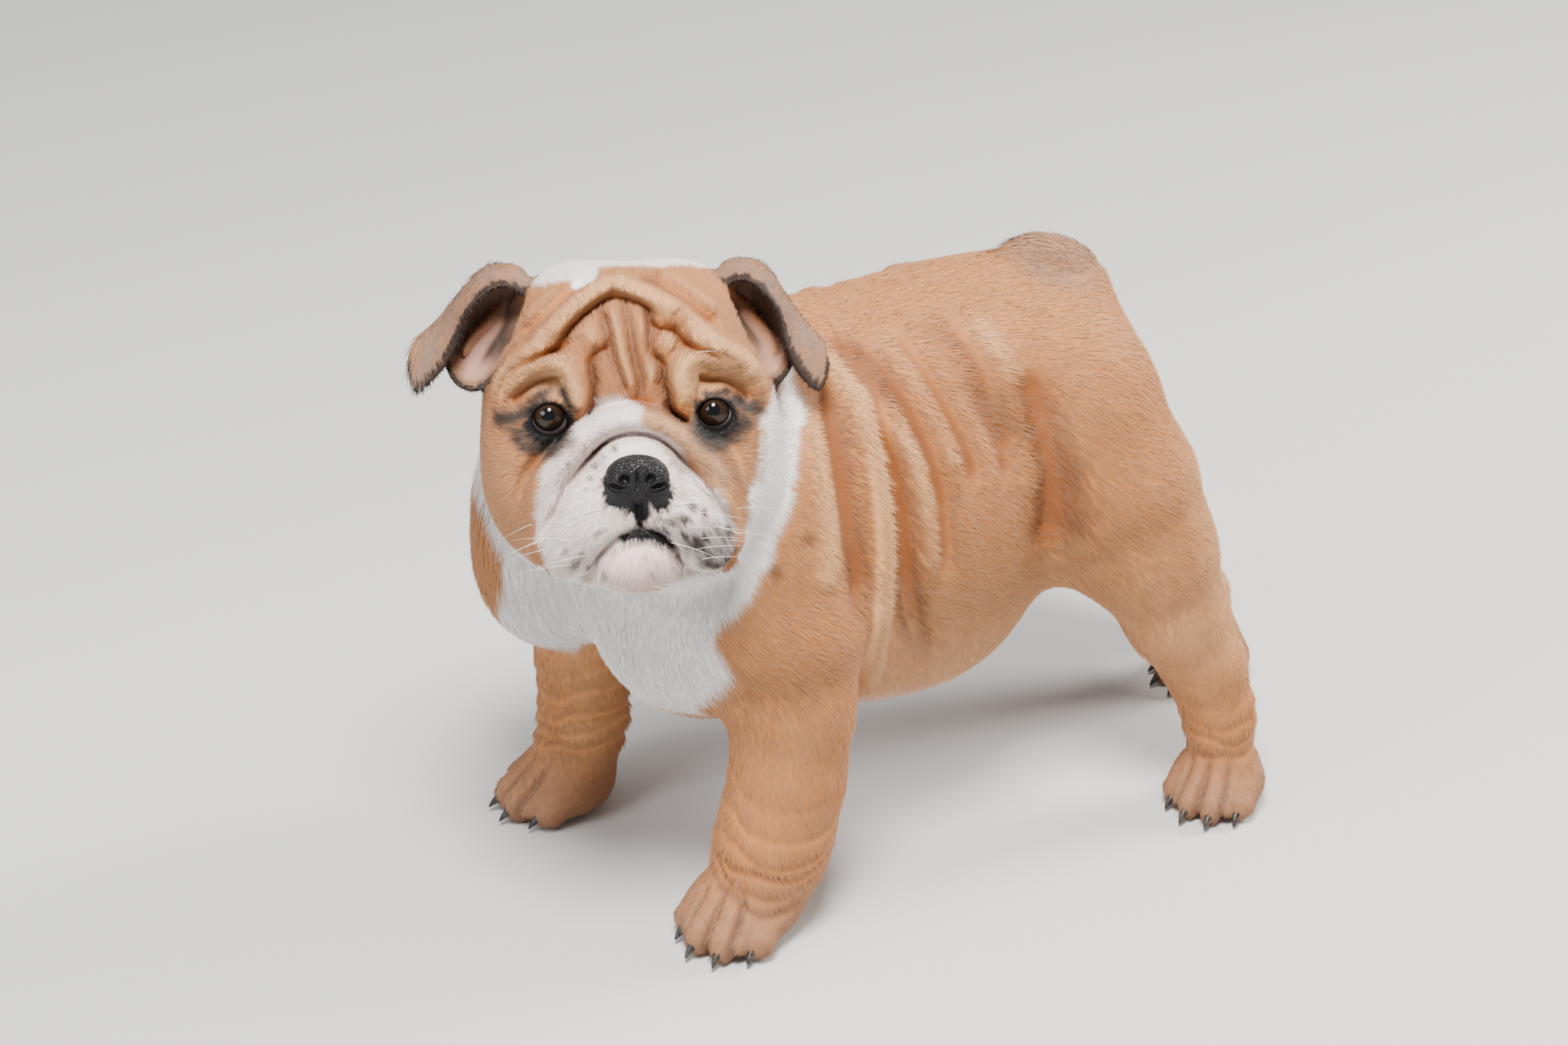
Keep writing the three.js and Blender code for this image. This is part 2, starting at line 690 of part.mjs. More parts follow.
  for (let v = 0; v < count; v += 1) {
    for (const w of neighbours(v)) if (w > v) offer(v, w);
  }
  let left = faces;
  while (left > target && heap.length > 0) {
    const { u, v, x, y, z, stampU, stampV } = pop();
    if (gone[u] || gone[v] || stampU !== version[u] || stampV !== version[v]) continue;
    const nu = neighbours(u);
    const nv = neighbours(v);
    let shared = 0;
    for (const w of nu) if (nv.has(w)) shared += 1;
    if (!nu.has(v)) continue;
    if (shared !== 2 || !keepsFaces(u, v, x, y, z) || !keepsFaces(v, u, x, y, z)) {
      refused[u].push(v);
      refused[v].push(u);
      continue;
    }
    points[u * 3] = x;
    points[u * 3 + 1] = y;
    points[u * 3 + 2] = z;
    for (let i = 0; i < 10; i += 1) quadrics[u * 10 + i] += quadrics[v * 10 + i];
    const kept = [];
    for (const f of around[u]) {
      if (!alive[f]) continue;
      if (triangles[f * 3] === v || triangles[f * 3 + 1] === v || triangles[f * 3 + 2] === v) {
        alive[f] = 0;
        left -= 1;
      } else {
        kept.push(f);
      }
    }
    for (const f of around[v]) {
      if (!alive[f]) continue;
      for (let i = 0; i < 3; i += 1) if (triangles[f * 3 + i] === v) triangles[f * 3 + i] = u;
      kept.push(f);
    }
    around[u] = kept;
    gone[v] = 1;
    version[u] += 1;
    refused[u] = [];
    for (const w of neighbours(u)) {
      offer(u, w);
      for (const o of refused[w]) if (!gone[o] && o !== u) offer(w, o);
      refused[w] = [];
    }
  }

  const renamed = new Int32Array(count).fill(-1);
  const outPoints = [];
  const outTriangles = [];
  for (let f = 0; f < faces; f += 1) {
    if (!alive[f]) continue;
    for (let i = 0; i < 3; i += 1) {
      const v = triangles[f * 3 + i];
      if (renamed[v] < 0) {
        renamed[v] = outPoints.length / 3;
        outPoints.push(points[v * 3], points[v * 3 + 1], points[v * 3 + 2]);
      }
      outTriangles.push(renamed[v]);
    }
  }
  return { points: outPoints, triangles: outTriangles };
}

// Closed geometry to solid and back
function solid({ points, triangles }) {
  return new wasm.Manifold(new wasm.Mesh({
    numProp: 3,
    vertProperties: Float32Array.from(points),
    triVerts: Uint32Array.from(triangles),
  }));
}

function solidOf(geometry, matrix = new THREE.Matrix4()) {
  const g = geometry.clone();
  g.deleteAttribute("normal");
  g.deleteAttribute("uv");
  const merged = mergeVertices(g, 1e-4);
  merged.applyMatrix4(matrix);
  return solid({ points: merged.attributes.position.array, triangles: merged.index.array });
}

function geometryOf(shape) {
  const mesh = shape.getMesh();
  const g = new THREE.BufferGeometry();
  g.setAttribute("position", new THREE.BufferAttribute(Float32Array.from(mesh.vertProperties), 3));
  g.setIndex(new THREE.BufferAttribute(Uint32Array.from(mesh.triVerts), 1));
  g.computeVertexNormals();
  return g;
}

function largest(shape) {
  return shape.decompose().reduce((a, b) => (a.volume() > b.volume() ? a : b));
}

// A closed shape as a solid, and the same shape grown all round for the socket it sits in
function withSocket({ points, triangles }) {
  const at = (i) => new THREE.Vector3().fromArray(points, i * 3);
  const count = points.length / 3;
  const normals = Array.from({ length: count }, () => new THREE.Vector3());
  for (let t = 0; t < triangles.length; t += 3) {
    const [a, b, c] = [0, 1, 2].map((i) => triangles[t + i]);
    const normal = at(b).sub(at(a)).cross(at(c).sub(at(a)));
    for (const i of [a, b, c]) normals[i].add(normal);
  }
  const grown = normals.flatMap((normal, i) => {
    const p = at(i).add(normal.normalize().multiplyScalar(GAP * 1.4));
    return [p.x, p.y, p.z];
  });
  return [solid({ points, triangles }), solid({ points: grown, triangles })];
}

// Thin cuts that part the flesh
function along(centre, axis) {
  const up = new THREE.Vector3(0, 1, 0);
  const turn = new THREE.Quaternion().setFromUnitVectors(up, new THREE.Vector3(...axis).normalize());
  return new THREE.Matrix4().compose(new THREE.Vector3(...centre), turn, new THREE.Vector3(1, 1, 1));
}

function disc(centre, normal, radius) {
  return solidOf(new THREE.CylinderGeometry(radius, radius, GAP, 16), along(centre, normal));
}

function slab(from, to) {
  const size = from.map((value, i) => Math.max(Math.abs(to[i] - value), GAP));
  const matrix = new THREE.Matrix4().makeTranslation(...from.map((value, i) => (value + to[i]) / 2));
  return solidOf(new THREE.BoxGeometry(...size), matrix);
}

// The ear: a cup round the canal whose upper edge folds over into a flap
const CANAL = [52, 13, 41];
const EAR_RAYS = [
  [[45, 13, 51], [40, 9, 60], [36, 2, 61]],
  [[50, 20, 56], [45, 11, 72], [42.5, -2, 63.5]],
  [[57, 22, 55], [54, 12, 73.5], [52.5, -5, 66]],
  [[62, 22, 50], [63.5, 12, 69.5], [61, -7, 61]],
  [[65, 20, 43], [71.5, 12, 57], [67.3, -8, 51]],
  [[68, 17, 37], [79, 11, 46], [70, -7.5, 38]],
  [[70, 15, 34], [85, 9, 39], [76, -4.5, 24.5]],
  [[71, 15, 33], [88, 8, 35], [85.5, 0, 15.5]],
  [[71, 16, 32.5], [84, 12, 37], [89.5, 6, 29]],
  [[69, 14, 31], [72, 13, 32], [75, 12, 33]],
  [[66, 11, 28], [70, 7, 27], [72.9, 1, 26.5]],
  [[60, 8, 26], [64, 3, 21.5], [66, -4, 19]],
  [[54, 6, 30], [56, 0, 24], [56, -5, 20]],
  [[48, 8, 37], [47, 1, 37], [45, -3, 37]],
  [[46, 10, 44], [43, 3, 49], [40, -2, 51]],
];
const EAR_STEPS = 2;

function ear(side) {
  const rays = EAR_RAYS.map((ray) => smoothLine([CANAL, ...ray], EAR_STEPS));
  const n = rays.length;
  const m = rays[0].length;
  const at = (i, j) => new THREE.Vector3(...rays[(i + n) % n][j]);
  const front = [];
  const back = [];
  for (let i = 0; i < n; i += 1) {
    for (let j = 1; j < m; j += 1) {
      const around = at(i + 1, j).sub(at(i - 1, j));
      const along = at(i, Math.min(j + 1, m - 1)).sub(at(i, j - 1));
      const half = (EAR_THICKNESS / 2) * (j === m - 1 ? 0.55 : 1);
      const normal = around.cross(along).normalize().multiplyScalar(half);
      const p = at(i, j);
      front.push(p.clone().add(normal));
      back.push(p.clone().sub(normal));
    }
  }
  const middle = at(0, 0);
  const ring = at(4, 1).sub(middle).cross(at(11, 1).sub(middle));
  ring.normalize().multiplyScalar(-EAR_THICKNESS / 2);
  const all = [...front, ...back, middle.clone().add(ring), middle.clone().sub(ring)];
  const k = m - 1;
  const a = (i, j) => (i % n) * k + j;
  const b = (i, j) => n * k + (i % n) * k + j;
  const triangles = [];
  for (let i = 0; i < n; i += 1) {
    triangles.push([2 * n * k, a(i, 0), a(i + 1, 0)], [2 * n * k + 1, b(i + 1, 0), b(i, 0)]);
    for (let j = 0; j + 1 < k; j += 1) {
      triangles.push([a(i, j), a(i, j + 1), a(i + 1, j + 1)], [a(i, j), a(i + 1, j + 1), a(i + 1, j)]);
      triangles.push([b(i, j), b(i + 1, j + 1), b(i, j + 1)], [b(i, j), b(i + 1, j), b(i + 1, j + 1)]);
    }
    triangles.push([a(i, k - 1), b(i, k - 1), b(i + 1, k - 1)]);
    triangles.push([a(i, k - 1), b(i + 1, k - 1), a(i + 1, k - 1)]);
  }
  const turn = side < 0 ? radians(RIGHT_EAR_SPREAD) : 0;
  const points = all.flatMap(({ x, y, z }) => {
    let u = x;
    let w = z;
    if (side < 0) {
      u = 41 + (x - 38) * Math.cos(turn) - (z - 62) * Math.sin(turn);
      w = 60 + (x - 38) * Math.sin(turn) + (z - 62) * Math.cos(turn);
    }
    return fromHead(side * u, y, w);
  });
  return withSocket({ points, triangles: triangles.flatMap((t) => (side > 0 ? [t[0], t[2], t[1]] : t)) });
}

// Nose leather with its two comma-shaped nostrils and the groove between them
function shapeNose() {
  const f = new Form();
  f.ball([1, -60, -11.5], [13.4, 9.8, 8.7], 4);
  for (const s of SIDES) f.ball([s * 7.8 + 1, -62.5, -14.8], [6.5, 7, 6.4], 2.5);
  f.ball([1, -61, -20], [6.5, 7, 7.5], 4);
  for (const s of SIDES) {
    f.ball([s * 5.6 + 1, -70.5, -14.6], [2.3, 4.8, 2.6], 1.2, axes(0, 0, 30 * s), true);
    f.ball([s * 9.6 + 1, -68.5, -17.8], [4.4, 3.6, 1.3], 0.9, axes(0, 0, -14 * s), true);
  }
  f.ball([1, -70.5, -17], [0.9, 2.8, 8], 0.9, null, true);
  return f;
}

// A small form made solid, with its socket
function solidForm(form, low, high, cell, target, inHead) {
  const rough = surface((x, y, z) => form.at(x, y, z), low, high, cell);
  const block = coarsen(rough, target, () => 1);
  return withSocket(inHead ? placedInHead(block) : block);
}

function placedInHead({ points, triangles }) {
  const placed = [];
  for (let i = 0; i < points.length; i += 3) {
    placed.push(...fromHead(points[i], points[i + 1], points[i + 2]));
  }
  return { points: placed, triangles };
}

// A claw: a tapered rod that droops towards its tip
function claw(base, ahead, grow) {
  const rings = 3;
  const profile = [new THREE.Vector2(0, -grow)];
  for (let i = 0; i < rings; i += 1) {
    const t = i / rings;
    const radius = (CLAW_RADIUS + grow) * Math.sqrt(1 - t * t * 0.9);
    profile.push(new THREE.Vector2(radius, i === 0 ? -grow : t * CLAW_LENGTH));
  }
  profile.push(new THREE.Vector2(0, CLAW_LENGTH + grow));
  const g = new THREE.LatheGeometry(profile, 6);
  const p = g.attributes.position;
  for (let i = 0; i < p.count; i += 1) {
    const along = p.getY(i);
    const t = Math.max(0, along) / CLAW_LENGTH;
    p.setXYZ(i, p.getX(i) * 0.8, -p.getZ(i) - CLAW_DROOP * t * t, along);
  }
  // local x across, y up, z ahead
  const forward = new THREE.Vector3(ahead[0], ahead[1], ahead[2]).normalize();
  const across = new THREE.Vector3(forward.y, -forward.x, 0).normalize();
  const up = new THREE.Vector3().crossVectors(forward, across).negate();
  if (up.z < 0) up.negate();
  const matrix = new THREE.Matrix4().makeBasis(new THREE.Vector3().crossVectors(up, forward), up, forward);
  matrix.setPosition(...base);
  return solidOf(g, matrix);
}

// The head is shaped on a grid of its own, finest on the face, and the body on a wider one
const HEAD_LOW = [-94, -78, -98];
const HEAD_HIGH = [100, 100, 92];

function headWall(x, y, z) {
  return Math.max(...[x, y, z].map((v, i) => Math.max(HEAD_LOW[i] - v, v - HEAD_HIGH[i]))) + HEAD_CELL;
}

// It ends smoothly a little behind the collar's cut
const collarAxis = new THREE.Vector3(...COLLAR_AXIS).normalize();
function behindCollar(x, y, z) {
  return new THREE.Vector3(...COLLAR_CENTRE).sub(new THREE.Vector3(...fromHead(x, y, z))).dot(collarAxis) - 5;
}

function headBlockDistance(x, y, z) {
  const back = behindCollar(x, y, z);
  if (back > 12) return back;
  const flesh = -blend(-back, -fleshDistance(...fromHead(x, y, z)), 6);
  return Math.max(headWall(x, y, z), flesh);
}

function headDetail(x, y, z) {
  if (headWall(x, y, z) > -3 || behindCollar(x, y, z) > -6) return 0.05;
  return y < -8 ? FACE_DETAIL : 1;
}

const headBlock = coarsen(
  smoothed(surface(headBlockDistance, HEAD_LOW, HEAD_HIGH, HEAD_CELL), 4),
  HEAD_TRIANGLES,
  headDetail,
);
const bodyBlock = coarsen(
  smoothed(surface(fleshDistance, [-125, -245, -8], [135, 265, 350], BODY_CELL), 1),
  BODY_TRIANGLES,
  (x, y, z) => (z < 30 ? PAW_DETAIL : 1),
);

// The collar: a cylinder whose base is the cut between head and neck
function collar(grow) {
  const length = 200;
  const g = new THREE.CylinderGeometry(COLLAR_RADIUS + grow, COLLAR_RADIUS + grow, length, 24);
  g.translate(0, length / 2 - grow, 0);
  return solidOf(g, along(COLLAR_CENTRE, COLLAR_AXIS));
}
let head = solid(placedInHead(headBlock)).intersect(collar(0));
let body = solid(bodyBlock).subtract(collar(GAP));
body = body.subtract(slab([-200, -300, -40], [200, 300, 0]));

const group = new THREE.Group();
function add(name, shape, colour, roughness) {
  const geometry = geometryOf(shape);
  geometry.translate(-MIDDLE[0], -MIDDLE[1], 0);
  const material = new THREE.MeshStandardMaterial({ color: colour, roughness, metalness: 0 });
  const mesh = new THREE.Mesh(geometry, material);
  mesh.name = name;
  group.add(mesh);
}

// Eyes, nose and ears sit in sockets a gap wider than themselves
for (const s of SIDES) {
  const name = s > 0 ? "left" : "right";
  const centre = new THREE.Matrix4().makeTranslation(...fromHead(s * EYE_X, EYE_Y, EYE_Z));
  const turned = centre.clone().multiply(HEAD_AXES);
  const ball = solidOf(new THREE.SphereGeometry(EYE_RADIUS, 16, 10), turned);
  add(`eye_${name}`, ball, EYE_BROWN, 0.15);
  head = head.subtract(solidOf(new THREE.SphereGeometry(EYE_RADIUS + GAP, 16, 10), turned));
  const [flap, slot] = ear(s);
  head = head.subtract(slot);
  add(`ear_${name}`, flap, GREY_BROWN, 0.9);
}
const [nose, noseSocket] = solidForm(shapeNose(), [-20, -76, -32], [22, -46, 4], 1.1, 560, true);
head = head.subtract(noseSocket);
add("nose", nose, BLACK, 0.45);
const [tail, tailSocket] = solidForm(shapeTail(), [-26, 60, 224], [26, 134, 300], 2, 260, false);
body = body.subtract(tailSocket);
add("tail", tail, TAN, 0.9);

for (const [pawName, { x, y, turn, size }] of Object.entries(PAWS)) {
  const at = pawFrame(x, y, turn, size);
  TOES.forEach(([side, ahead, r], i) => {
    const outward = side * 0.012;
    const base = at(side * 1.02, ahead + r - 4.5, 8.5);
    const front = at(side * 1.02 + outward * 100, ahead + r + 95, 2);
    const direction = front.map((value, k) => value - base[k]);
    body = body.subtract(claw(base, direction, GAP));
    add(`claw_${pawName}_${i + 1}`, claw(base, direction, 0), BLACK, 0.5);
  });
}

// Mouth: a thin cut along its line, closed by a wall behind the chin
function mouthCut() {
  const line = [[-22, -82], ...MOUTH_LINE, [24, -82]];
  const shape = new THREE.Shape();
  const sides = [GAP / 2, -GAP / 2].map((off) => line.map(([x, z], i) => {
    const [ax, az] = line[Math.max(i - 1, 0)];
    const [bx, bz] = line[Math.min(i + 1, line.length - 1)];
    const l = Math.hypot(bx - ax, bz - az);
    return new THREE.Vector2(x - ((bz - az) / l) * off, z + ((bx - ax) / l) * off);
  }));
  shape.setFromPoints([...sides[0], ...sides[1].reverse()]);
  const g = new THREE.ExtrudeGeometry(shape, { depth: 62, bevelEnabled: false, steps: 1 });
  // drawn in x and z, pushed along y
  g.applyMatrix4(new THREE.Matrix4().makeBasis(
    new THREE.Vector3(1, 0, 0),
    new THREE.Vector3(0, 0, 1),
    new THREE.Vector3(0, -1, 0),
  ));
  g.translate(0, -26, 0);
  const matrix = new THREE.Matrix4().makeTranslation(...HEAD_CENTRE).multiply(HEAD_AXES);
  const wall = new THREE.BoxGeometry(48, GAP, 52);
  wall.translate(1, -26, -60);
  return solidOf(g, matrix).add(solidOf(wall, matrix));
}
head = head.subtract(mouthCut());

const tilt = (x, y, z) => {
  const v = new THREE.Vector3(x, y, z).applyMatrix4(CHEST_AXES);
  return [v.x, v.y, v.z];
};
const CUTS = [
  disc([0, -100, 232], [0.25, -0.62, 0.74], 130),
  slab([-120, -18, -10], [120, -18, 300]),
  slab([-120, 58, -10], [120, 58, 300]),
  disc(chest(76, 6, 100), tilt(0.55, 0, -0.83), 54),
  disc(chest(-76, 0, 100), tilt(-0.55, 0, -0.83), 54),
  disc(chest(75.5, -5, 40), [0, 0, 1], 34),
  disc(chest(-75.5, -5, 40), [0, 0, 1], 34),
  disc([67, 126, 124], [0.16, 0.35, -0.92], 50),
  disc([-47, 153, 124], [-0.1, 0.6, -0.75], 46),
  disc([79, 157, 38], [0, 0, 1], 28),
  disc([-31, 220, 38], [0, 0, 1], 28),
];
for (const cut of CUTS) body = body.subtract(cut);

// Each piece is known by about where its middle lies
const PIECES = {
  head: [31, -150, 262],
  lower_jaw: fromHead(1, -46, -54),
  neck: [-5, -105, 230],
  chest: [0, -75, 165],
  belly: [0, 20, 175],
  rump: [0, 100, 200],
  front_leg_left: chest(77, 4, 70),
  front_leg_right: chest(-77, 0, 70),
  front_paw_left: chest(76, -15, 18),
  front_paw_right: chest(-76, -15, 18),
  hind_leg_left: [74, 145, 80],
  hind_leg_right: [-40, 190, 80],
  hind_paw_left: [81, 156, 16],
  hind_paw_right: [-29, 222, 16],
};
const pieces = [...head.decompose(), ...body.decompose()].filter((piece) => piece.volume() > 300);
for (const [name, middle] of Object.entries(PIECES)) {
  let best = null;
  let near = Infinity;
  for (const piece of pieces) {
    const { min, max } = piece.boundingBox();
    const far = Math.hypot(...middle.map((value, i) => value - (min[i] + max[i]) / 2));
    if (far < near) {
      near = far;
      best = piece;
    }
  }
  const colour = name === "neck" ? WHITE : name === "lower_jaw" ? PINK : TAN;
  add(name, largest(best), colour, 0.85);
}

export default group;
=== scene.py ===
# A bulldog puppy of about twelve weeks, life size, standing with its head turned to its left.
# Blender objects are in metres; the animal's own form is worked out in millimetres.
import math

import bpy
import numpy as np
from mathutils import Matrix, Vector
from mathutils.bvhtree import BVHTree


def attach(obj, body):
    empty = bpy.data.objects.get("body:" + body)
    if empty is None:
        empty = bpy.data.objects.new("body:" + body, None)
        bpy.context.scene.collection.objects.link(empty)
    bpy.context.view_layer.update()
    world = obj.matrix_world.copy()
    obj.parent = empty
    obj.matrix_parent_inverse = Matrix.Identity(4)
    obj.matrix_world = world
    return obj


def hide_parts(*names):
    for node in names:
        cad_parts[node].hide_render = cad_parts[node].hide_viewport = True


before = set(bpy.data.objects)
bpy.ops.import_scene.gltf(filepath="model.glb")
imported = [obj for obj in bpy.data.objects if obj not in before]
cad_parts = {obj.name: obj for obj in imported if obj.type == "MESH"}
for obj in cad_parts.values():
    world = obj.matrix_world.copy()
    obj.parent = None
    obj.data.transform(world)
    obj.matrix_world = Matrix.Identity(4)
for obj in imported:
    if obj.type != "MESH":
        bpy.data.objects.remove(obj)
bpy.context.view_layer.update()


# Camera
# A long portrait lens, held at the knee of someone standing a few steps off, ahead of the
# animal's left side and above it.
CAMERA_LENS = 85
CAMERA_SENSOR = 36
CAMERA_AZIMUTH = math.radians(62)
CAMERA_ELEVATION = math.radians(27)
CAMERA_DISTANCE = 1.80
CAMERA_TARGET = Vector((-0.0280, -0.04355, 0.155))

toward_camera = Vector((
    math.sin(CAMERA_AZIMUTH) * math.cos(CAMERA_ELEVATION),
    -math.cos(CAMERA_AZIMUTH) * math.cos(CAMERA_ELEVATION),
    math.sin(CAMERA_ELEVATION),
))
camera_data = bpy.data.cameras.new("camera")
camera_data.lens = CAMERA_LENS
camera_data.sensor_width = CAMERA_SENSOR
camera = bpy.data.objects.new("camera", camera_data)
camera.location = CAMERA_TARGET + toward_camera * CAMERA_DISTANCE
camera.rotation_euler = (-toward_camera).to_track_quat("-Z", "Y").to_euler()
bpy.context.scene.collection.objects.link(camera)
bpy.context.scene.camera = camera


# Skin: the form of the flesh
# The loose skin lies over one continuous body: barrel chest, short thick legs set wide, a heavy
# neck and a broad flat-faced skull. Balls and tapered lengths that melt into each other give it.
MIDDLE = np.array([3.0, 8.55, 0.0])
SIDES = (-1, 1)


def axes(turn, lift, roll):
    a, b, c = (math.radians(angle) for angle in (turn, -lift, roll))
    about_z = np.array([[math.cos(a), -math.sin(a), 0], [math.sin(a), math.cos(a), 0], [0, 0, 1]])
    about_x = np.array([[1, 0, 0], [0, math.cos(b), -math.sin(b)], [0, math.sin(b), math.cos(b)]])
    about_y = np.array([[math.cos(c), 0, math.sin(c)], [0, 1, 0], [-math.sin(c), 0, math.cos(c)]])
    return (about_z @ about_x @ about_y).astype(np.float32)


def melt(a, b, soft):
    """Smooth union of two distances"""
    near = np.maximum(soft - np.abs(a - b), 0) / soft
    return np.minimum(a, b) - near * near * soft * 0.25


class Form:
    """A shape given by its distance: balls and limbs, each melted into those before it"""

    def __init__(self):
        self.parts = []

    def ball(self, centre, radii, soft, turned=None, cut=False):
        radii = np.array([radii] * 3 if np.isscalar(radii) else radii, np.float32)
        centre = np.array(centre, np.float32)

        def distance(p):
            q = p - centre
            if turned is not None:
                q = q @ turned
            k0 = np.sqrt(((q / radii) ** 2).sum(-1)) + 1e-9
            k1 = np.sqrt(((q / radii**2) ** 2).sum(-1)) + 1e-9
            return k0 * (k0 - 1) / k1

        self.parts.append((distance, centre, float(radii.max()), soft, cut))

    def limb(self, points, soft):
        for start, end in zip(points, points[1:]):
            self.length(np.array(start, np.float32), np.array(end, np.float32), soft)

    def length(self, start, end, soft):
        a, ra, b, rb = start[:3], float(start[3]), end[:3], float(end[3])
        run = b - a
        l2 = float(run @ run)
        taper = ra - rb
        a2 = max(l2 - taper * taper, 1e-6)

        def distance(p):
            from_a = p - a
            y = from_a @ run
            z = y - l2
            side = from_a * l2 - y[:, None] * run
            x2 = (side * side).sum(-1)
            y2 = y * y * l2
            z2 = z * z * l2
            turn = math.copysign(1, taper) * taper * taper * x2
            out = (np.sqrt(x2 * a2 / l2) + y * taper) / l2 - ra
            out = np.where(np.sign(y) * a2 * y2 < turn, np.sqrt(x2 + y2) / l2 - ra, out)
            return np.where(np.sign(z) * a2 * z2 > turn, np.sqrt(x2 + z2) / l2 - rb, out)

        reach = math.sqrt(l2) / 2 + max(ra, rb)
        self.parts.append((distance, (a + b) / 2, reach, soft, False))

    def at(self, p):
        d = np.full(len(p), 1000, np.float32)
        for distance, centre, reach, soft, cut in self.parts:
            low = np.sqrt(((p - centre) ** 2).sum(-1)) - reach
            near = low < (4 + soft if cut else d + soft)
            if not near.any():
                continue
            if cut:
                d[near] = -melt(-d[near], distance(p[near]), soft)
            else:
                d[near] = melt(d[near], distance(p[near]), soft)
        return d


def smooth_line(points, steps):
    """A smooth line through points of any number of values"""
    p = np.array(points, float)
    p = np.vstack([2 * p[0] - p[1], p, 2 * p[-1] - p[-2]])
    out = []
    for i in range(1, len(p) - 2):
        for t in np.arange(steps) / steps:
            a, b, c, d = p[i - 1:i + 3]
            cubic = (-a + 3 * b - 3 * c + d) * t**3
            out.append((2 * b + (c - a) * t + (2 * a - 5 * b + 4 * c - d) * t * t + cubic) / 2)
    out.append(p[-2])
    return np.array(out)


CHEST_TURN = 11
CHEST_AXES = axes(CHEST_TURN, 0, 0)
CHEST_CENTRE = np.array([0, -105, 0])


def chest(x, y, z):
    return CHEST_AXES @ np.array([x, y, z]) + CHEST_CENTRE


HIND_LEFT_LEG = [
    (54, 108, 176, 38), (64, 119, 142, 30.5), (70, 132, 108, 23.5), (75, 147, 78, 18.5),
    (78, 155, 52, 16), (80, 158, 26, 17),
]
HIND_RIGHT_LEG = [
    (-52, 110, 176, 38), (-50, 136, 142, 28), (-44.5, 166, 110, 21.5), (-37, 199, 80, 17),
    (-31.5, 214, 52, 15.5), (-30, 223, 26, 16),
]
# The right foreleg is set down with less skin bunched on it, by the last value of each point
FRONT_LEG = [
    (72, 8, 150, 33, 1), (76, 8, 112, 26, 2.5), (77, 4, 78, 24.5, 4), (75.5, -3, 48, 25, 5),
    (75, -10, 28, 24, 3.5),
]
TAIL = [(0, 109, 249, 19), (0, 107, 265, 14), (-2, 94, 275.5, 11), (-4, 79, 277.5, 8.5)]
TOES = [(-19, 14, 9.5), (-7, 24, 10.5), (7, 24, 10.5), (19, 14, 9.5)]
# Each paw's place, the way it points in degrees, and its size
PAWS = {
    "front_left": (*chest(73, -21, 0)[:2], 30, 0.96),
    "front_right": (*chest(-75, -18, 0)[:2], -4, 0.96),
    "hind_left": (81, 156, 34, 0.86),
    "hind_right": (-29, 222, 10, 0.86),
}


def paw_point(paw, side, ahead, z):
    x, y, turn, size = PAWS[paw]
    c, s = math.cos(math.radians(turn)), math.sin(math.radians(turn))
    return np.array([x + (c * side + s * ahead) * size, y + (s * side - c * ahead) * size, z * size])


body = Form()
body.ball((0, -42, 176), (76, 88, 101), 30)
body.ball((0, 14, 168), (77, 77, 99), 30)
body.ball((0, 81, 216), (62, 53, 59), 30)
body.ball((0, 36, 237.5), (50, 96, 46), 20)
body.ball(chest(0, 4, 148), (60, 42, 54), 26)
body.ball(chest(0, 8, 122), (46, 38, 32), 24)
body.ball(chest(-74, -16, 134), (32, 37, 40), 20)
for side in SIDES:
    body.ball(chest(60, 2, 172) if side > 0 else chest(-68, -16, 172), (38, 46, 60), 26)
    body.ball((side * 45, 97, 186), (37, 38, 66), 26)
body.limb([(0, -70, 208, 70), (-4, -110, 238, 58), (2, -126, 250, 54)], 24)
for side in SIDES:
    back, slimmer = (0, 0) if side > 0 else (-6, 1)
    body.limb([
        (*chest(side * x, y + (back if z > 60 else 0), z), radius - less * slimmer)
        for x, y, z, radius, less in FRONT_LEG
    ], 16)
body.limb(HIND_LEFT_LEG, 14)
body.limb(HIND_RIGHT_LEG, 14)
for paw, (_, _, _, size) in PAWS.items():
    body.ball(paw_point(paw, 0, 0, 15), (27 * size, 27 * size, 17 * size), 10)
    for side, ahead, radius in TOES:
        knuckle = (*paw_point(paw, side * 0.8, ahead - 16, 20), radius * size)
        tip = (*paw_point(paw, side, ahead, 10.5), radius * size)
        body.limb([knuckle, tip], 4)
body.limb(smooth_line(TAIL, 3), 8)

HEAD_CENTRE = np.array([31.6, -143.4, 254], np.float32)
HEAD_AXES = axes(66, 19, 0)
HEAD_REACH = 115
HEAD_SOFTNESS = 12
EYE_X, EYE_Y, EYE_Z = 36, -37.5, 11
BROW = [
    (53, -34, 12, 4.5), (52, -31, 22, 5), (45, -34, 30, 5.5), (34, -40, 34, 5.5),
    (25, -44, 32, 5.5), (21, -45, 25, 5.5), (21, -44, 17, 5.5), (24, -43, 9, 4.5),
]
FOREHEAD_ROLL = [
    (-50, -26, 36, 4), (-38, -34, 44, 5), (-25, -36, 55, 5), (-14, -34, 62, 5), (-5, -33, 65, 5),
    (5, -36, 62, 5), (15, -38, 57, 4.5), (24, -38, 51, 4.5), (33, -37, 43, 4),
]
NOSE_ROLL = [
    (-46, -36, -38, 6), (-41, -46, -26, 7), (-35, -50, -13, 7), (-26, -50, -2, 7), (-16, -49, 5, 7),
    (-5, -50, 9, 7), (5, -50, 9, 7), (16, -49, 6, 7), (25, -49, 0, 7), (34, -50, -9, 7),
    (40, -46, -20, 7), (46, -36, -34, 6),
]

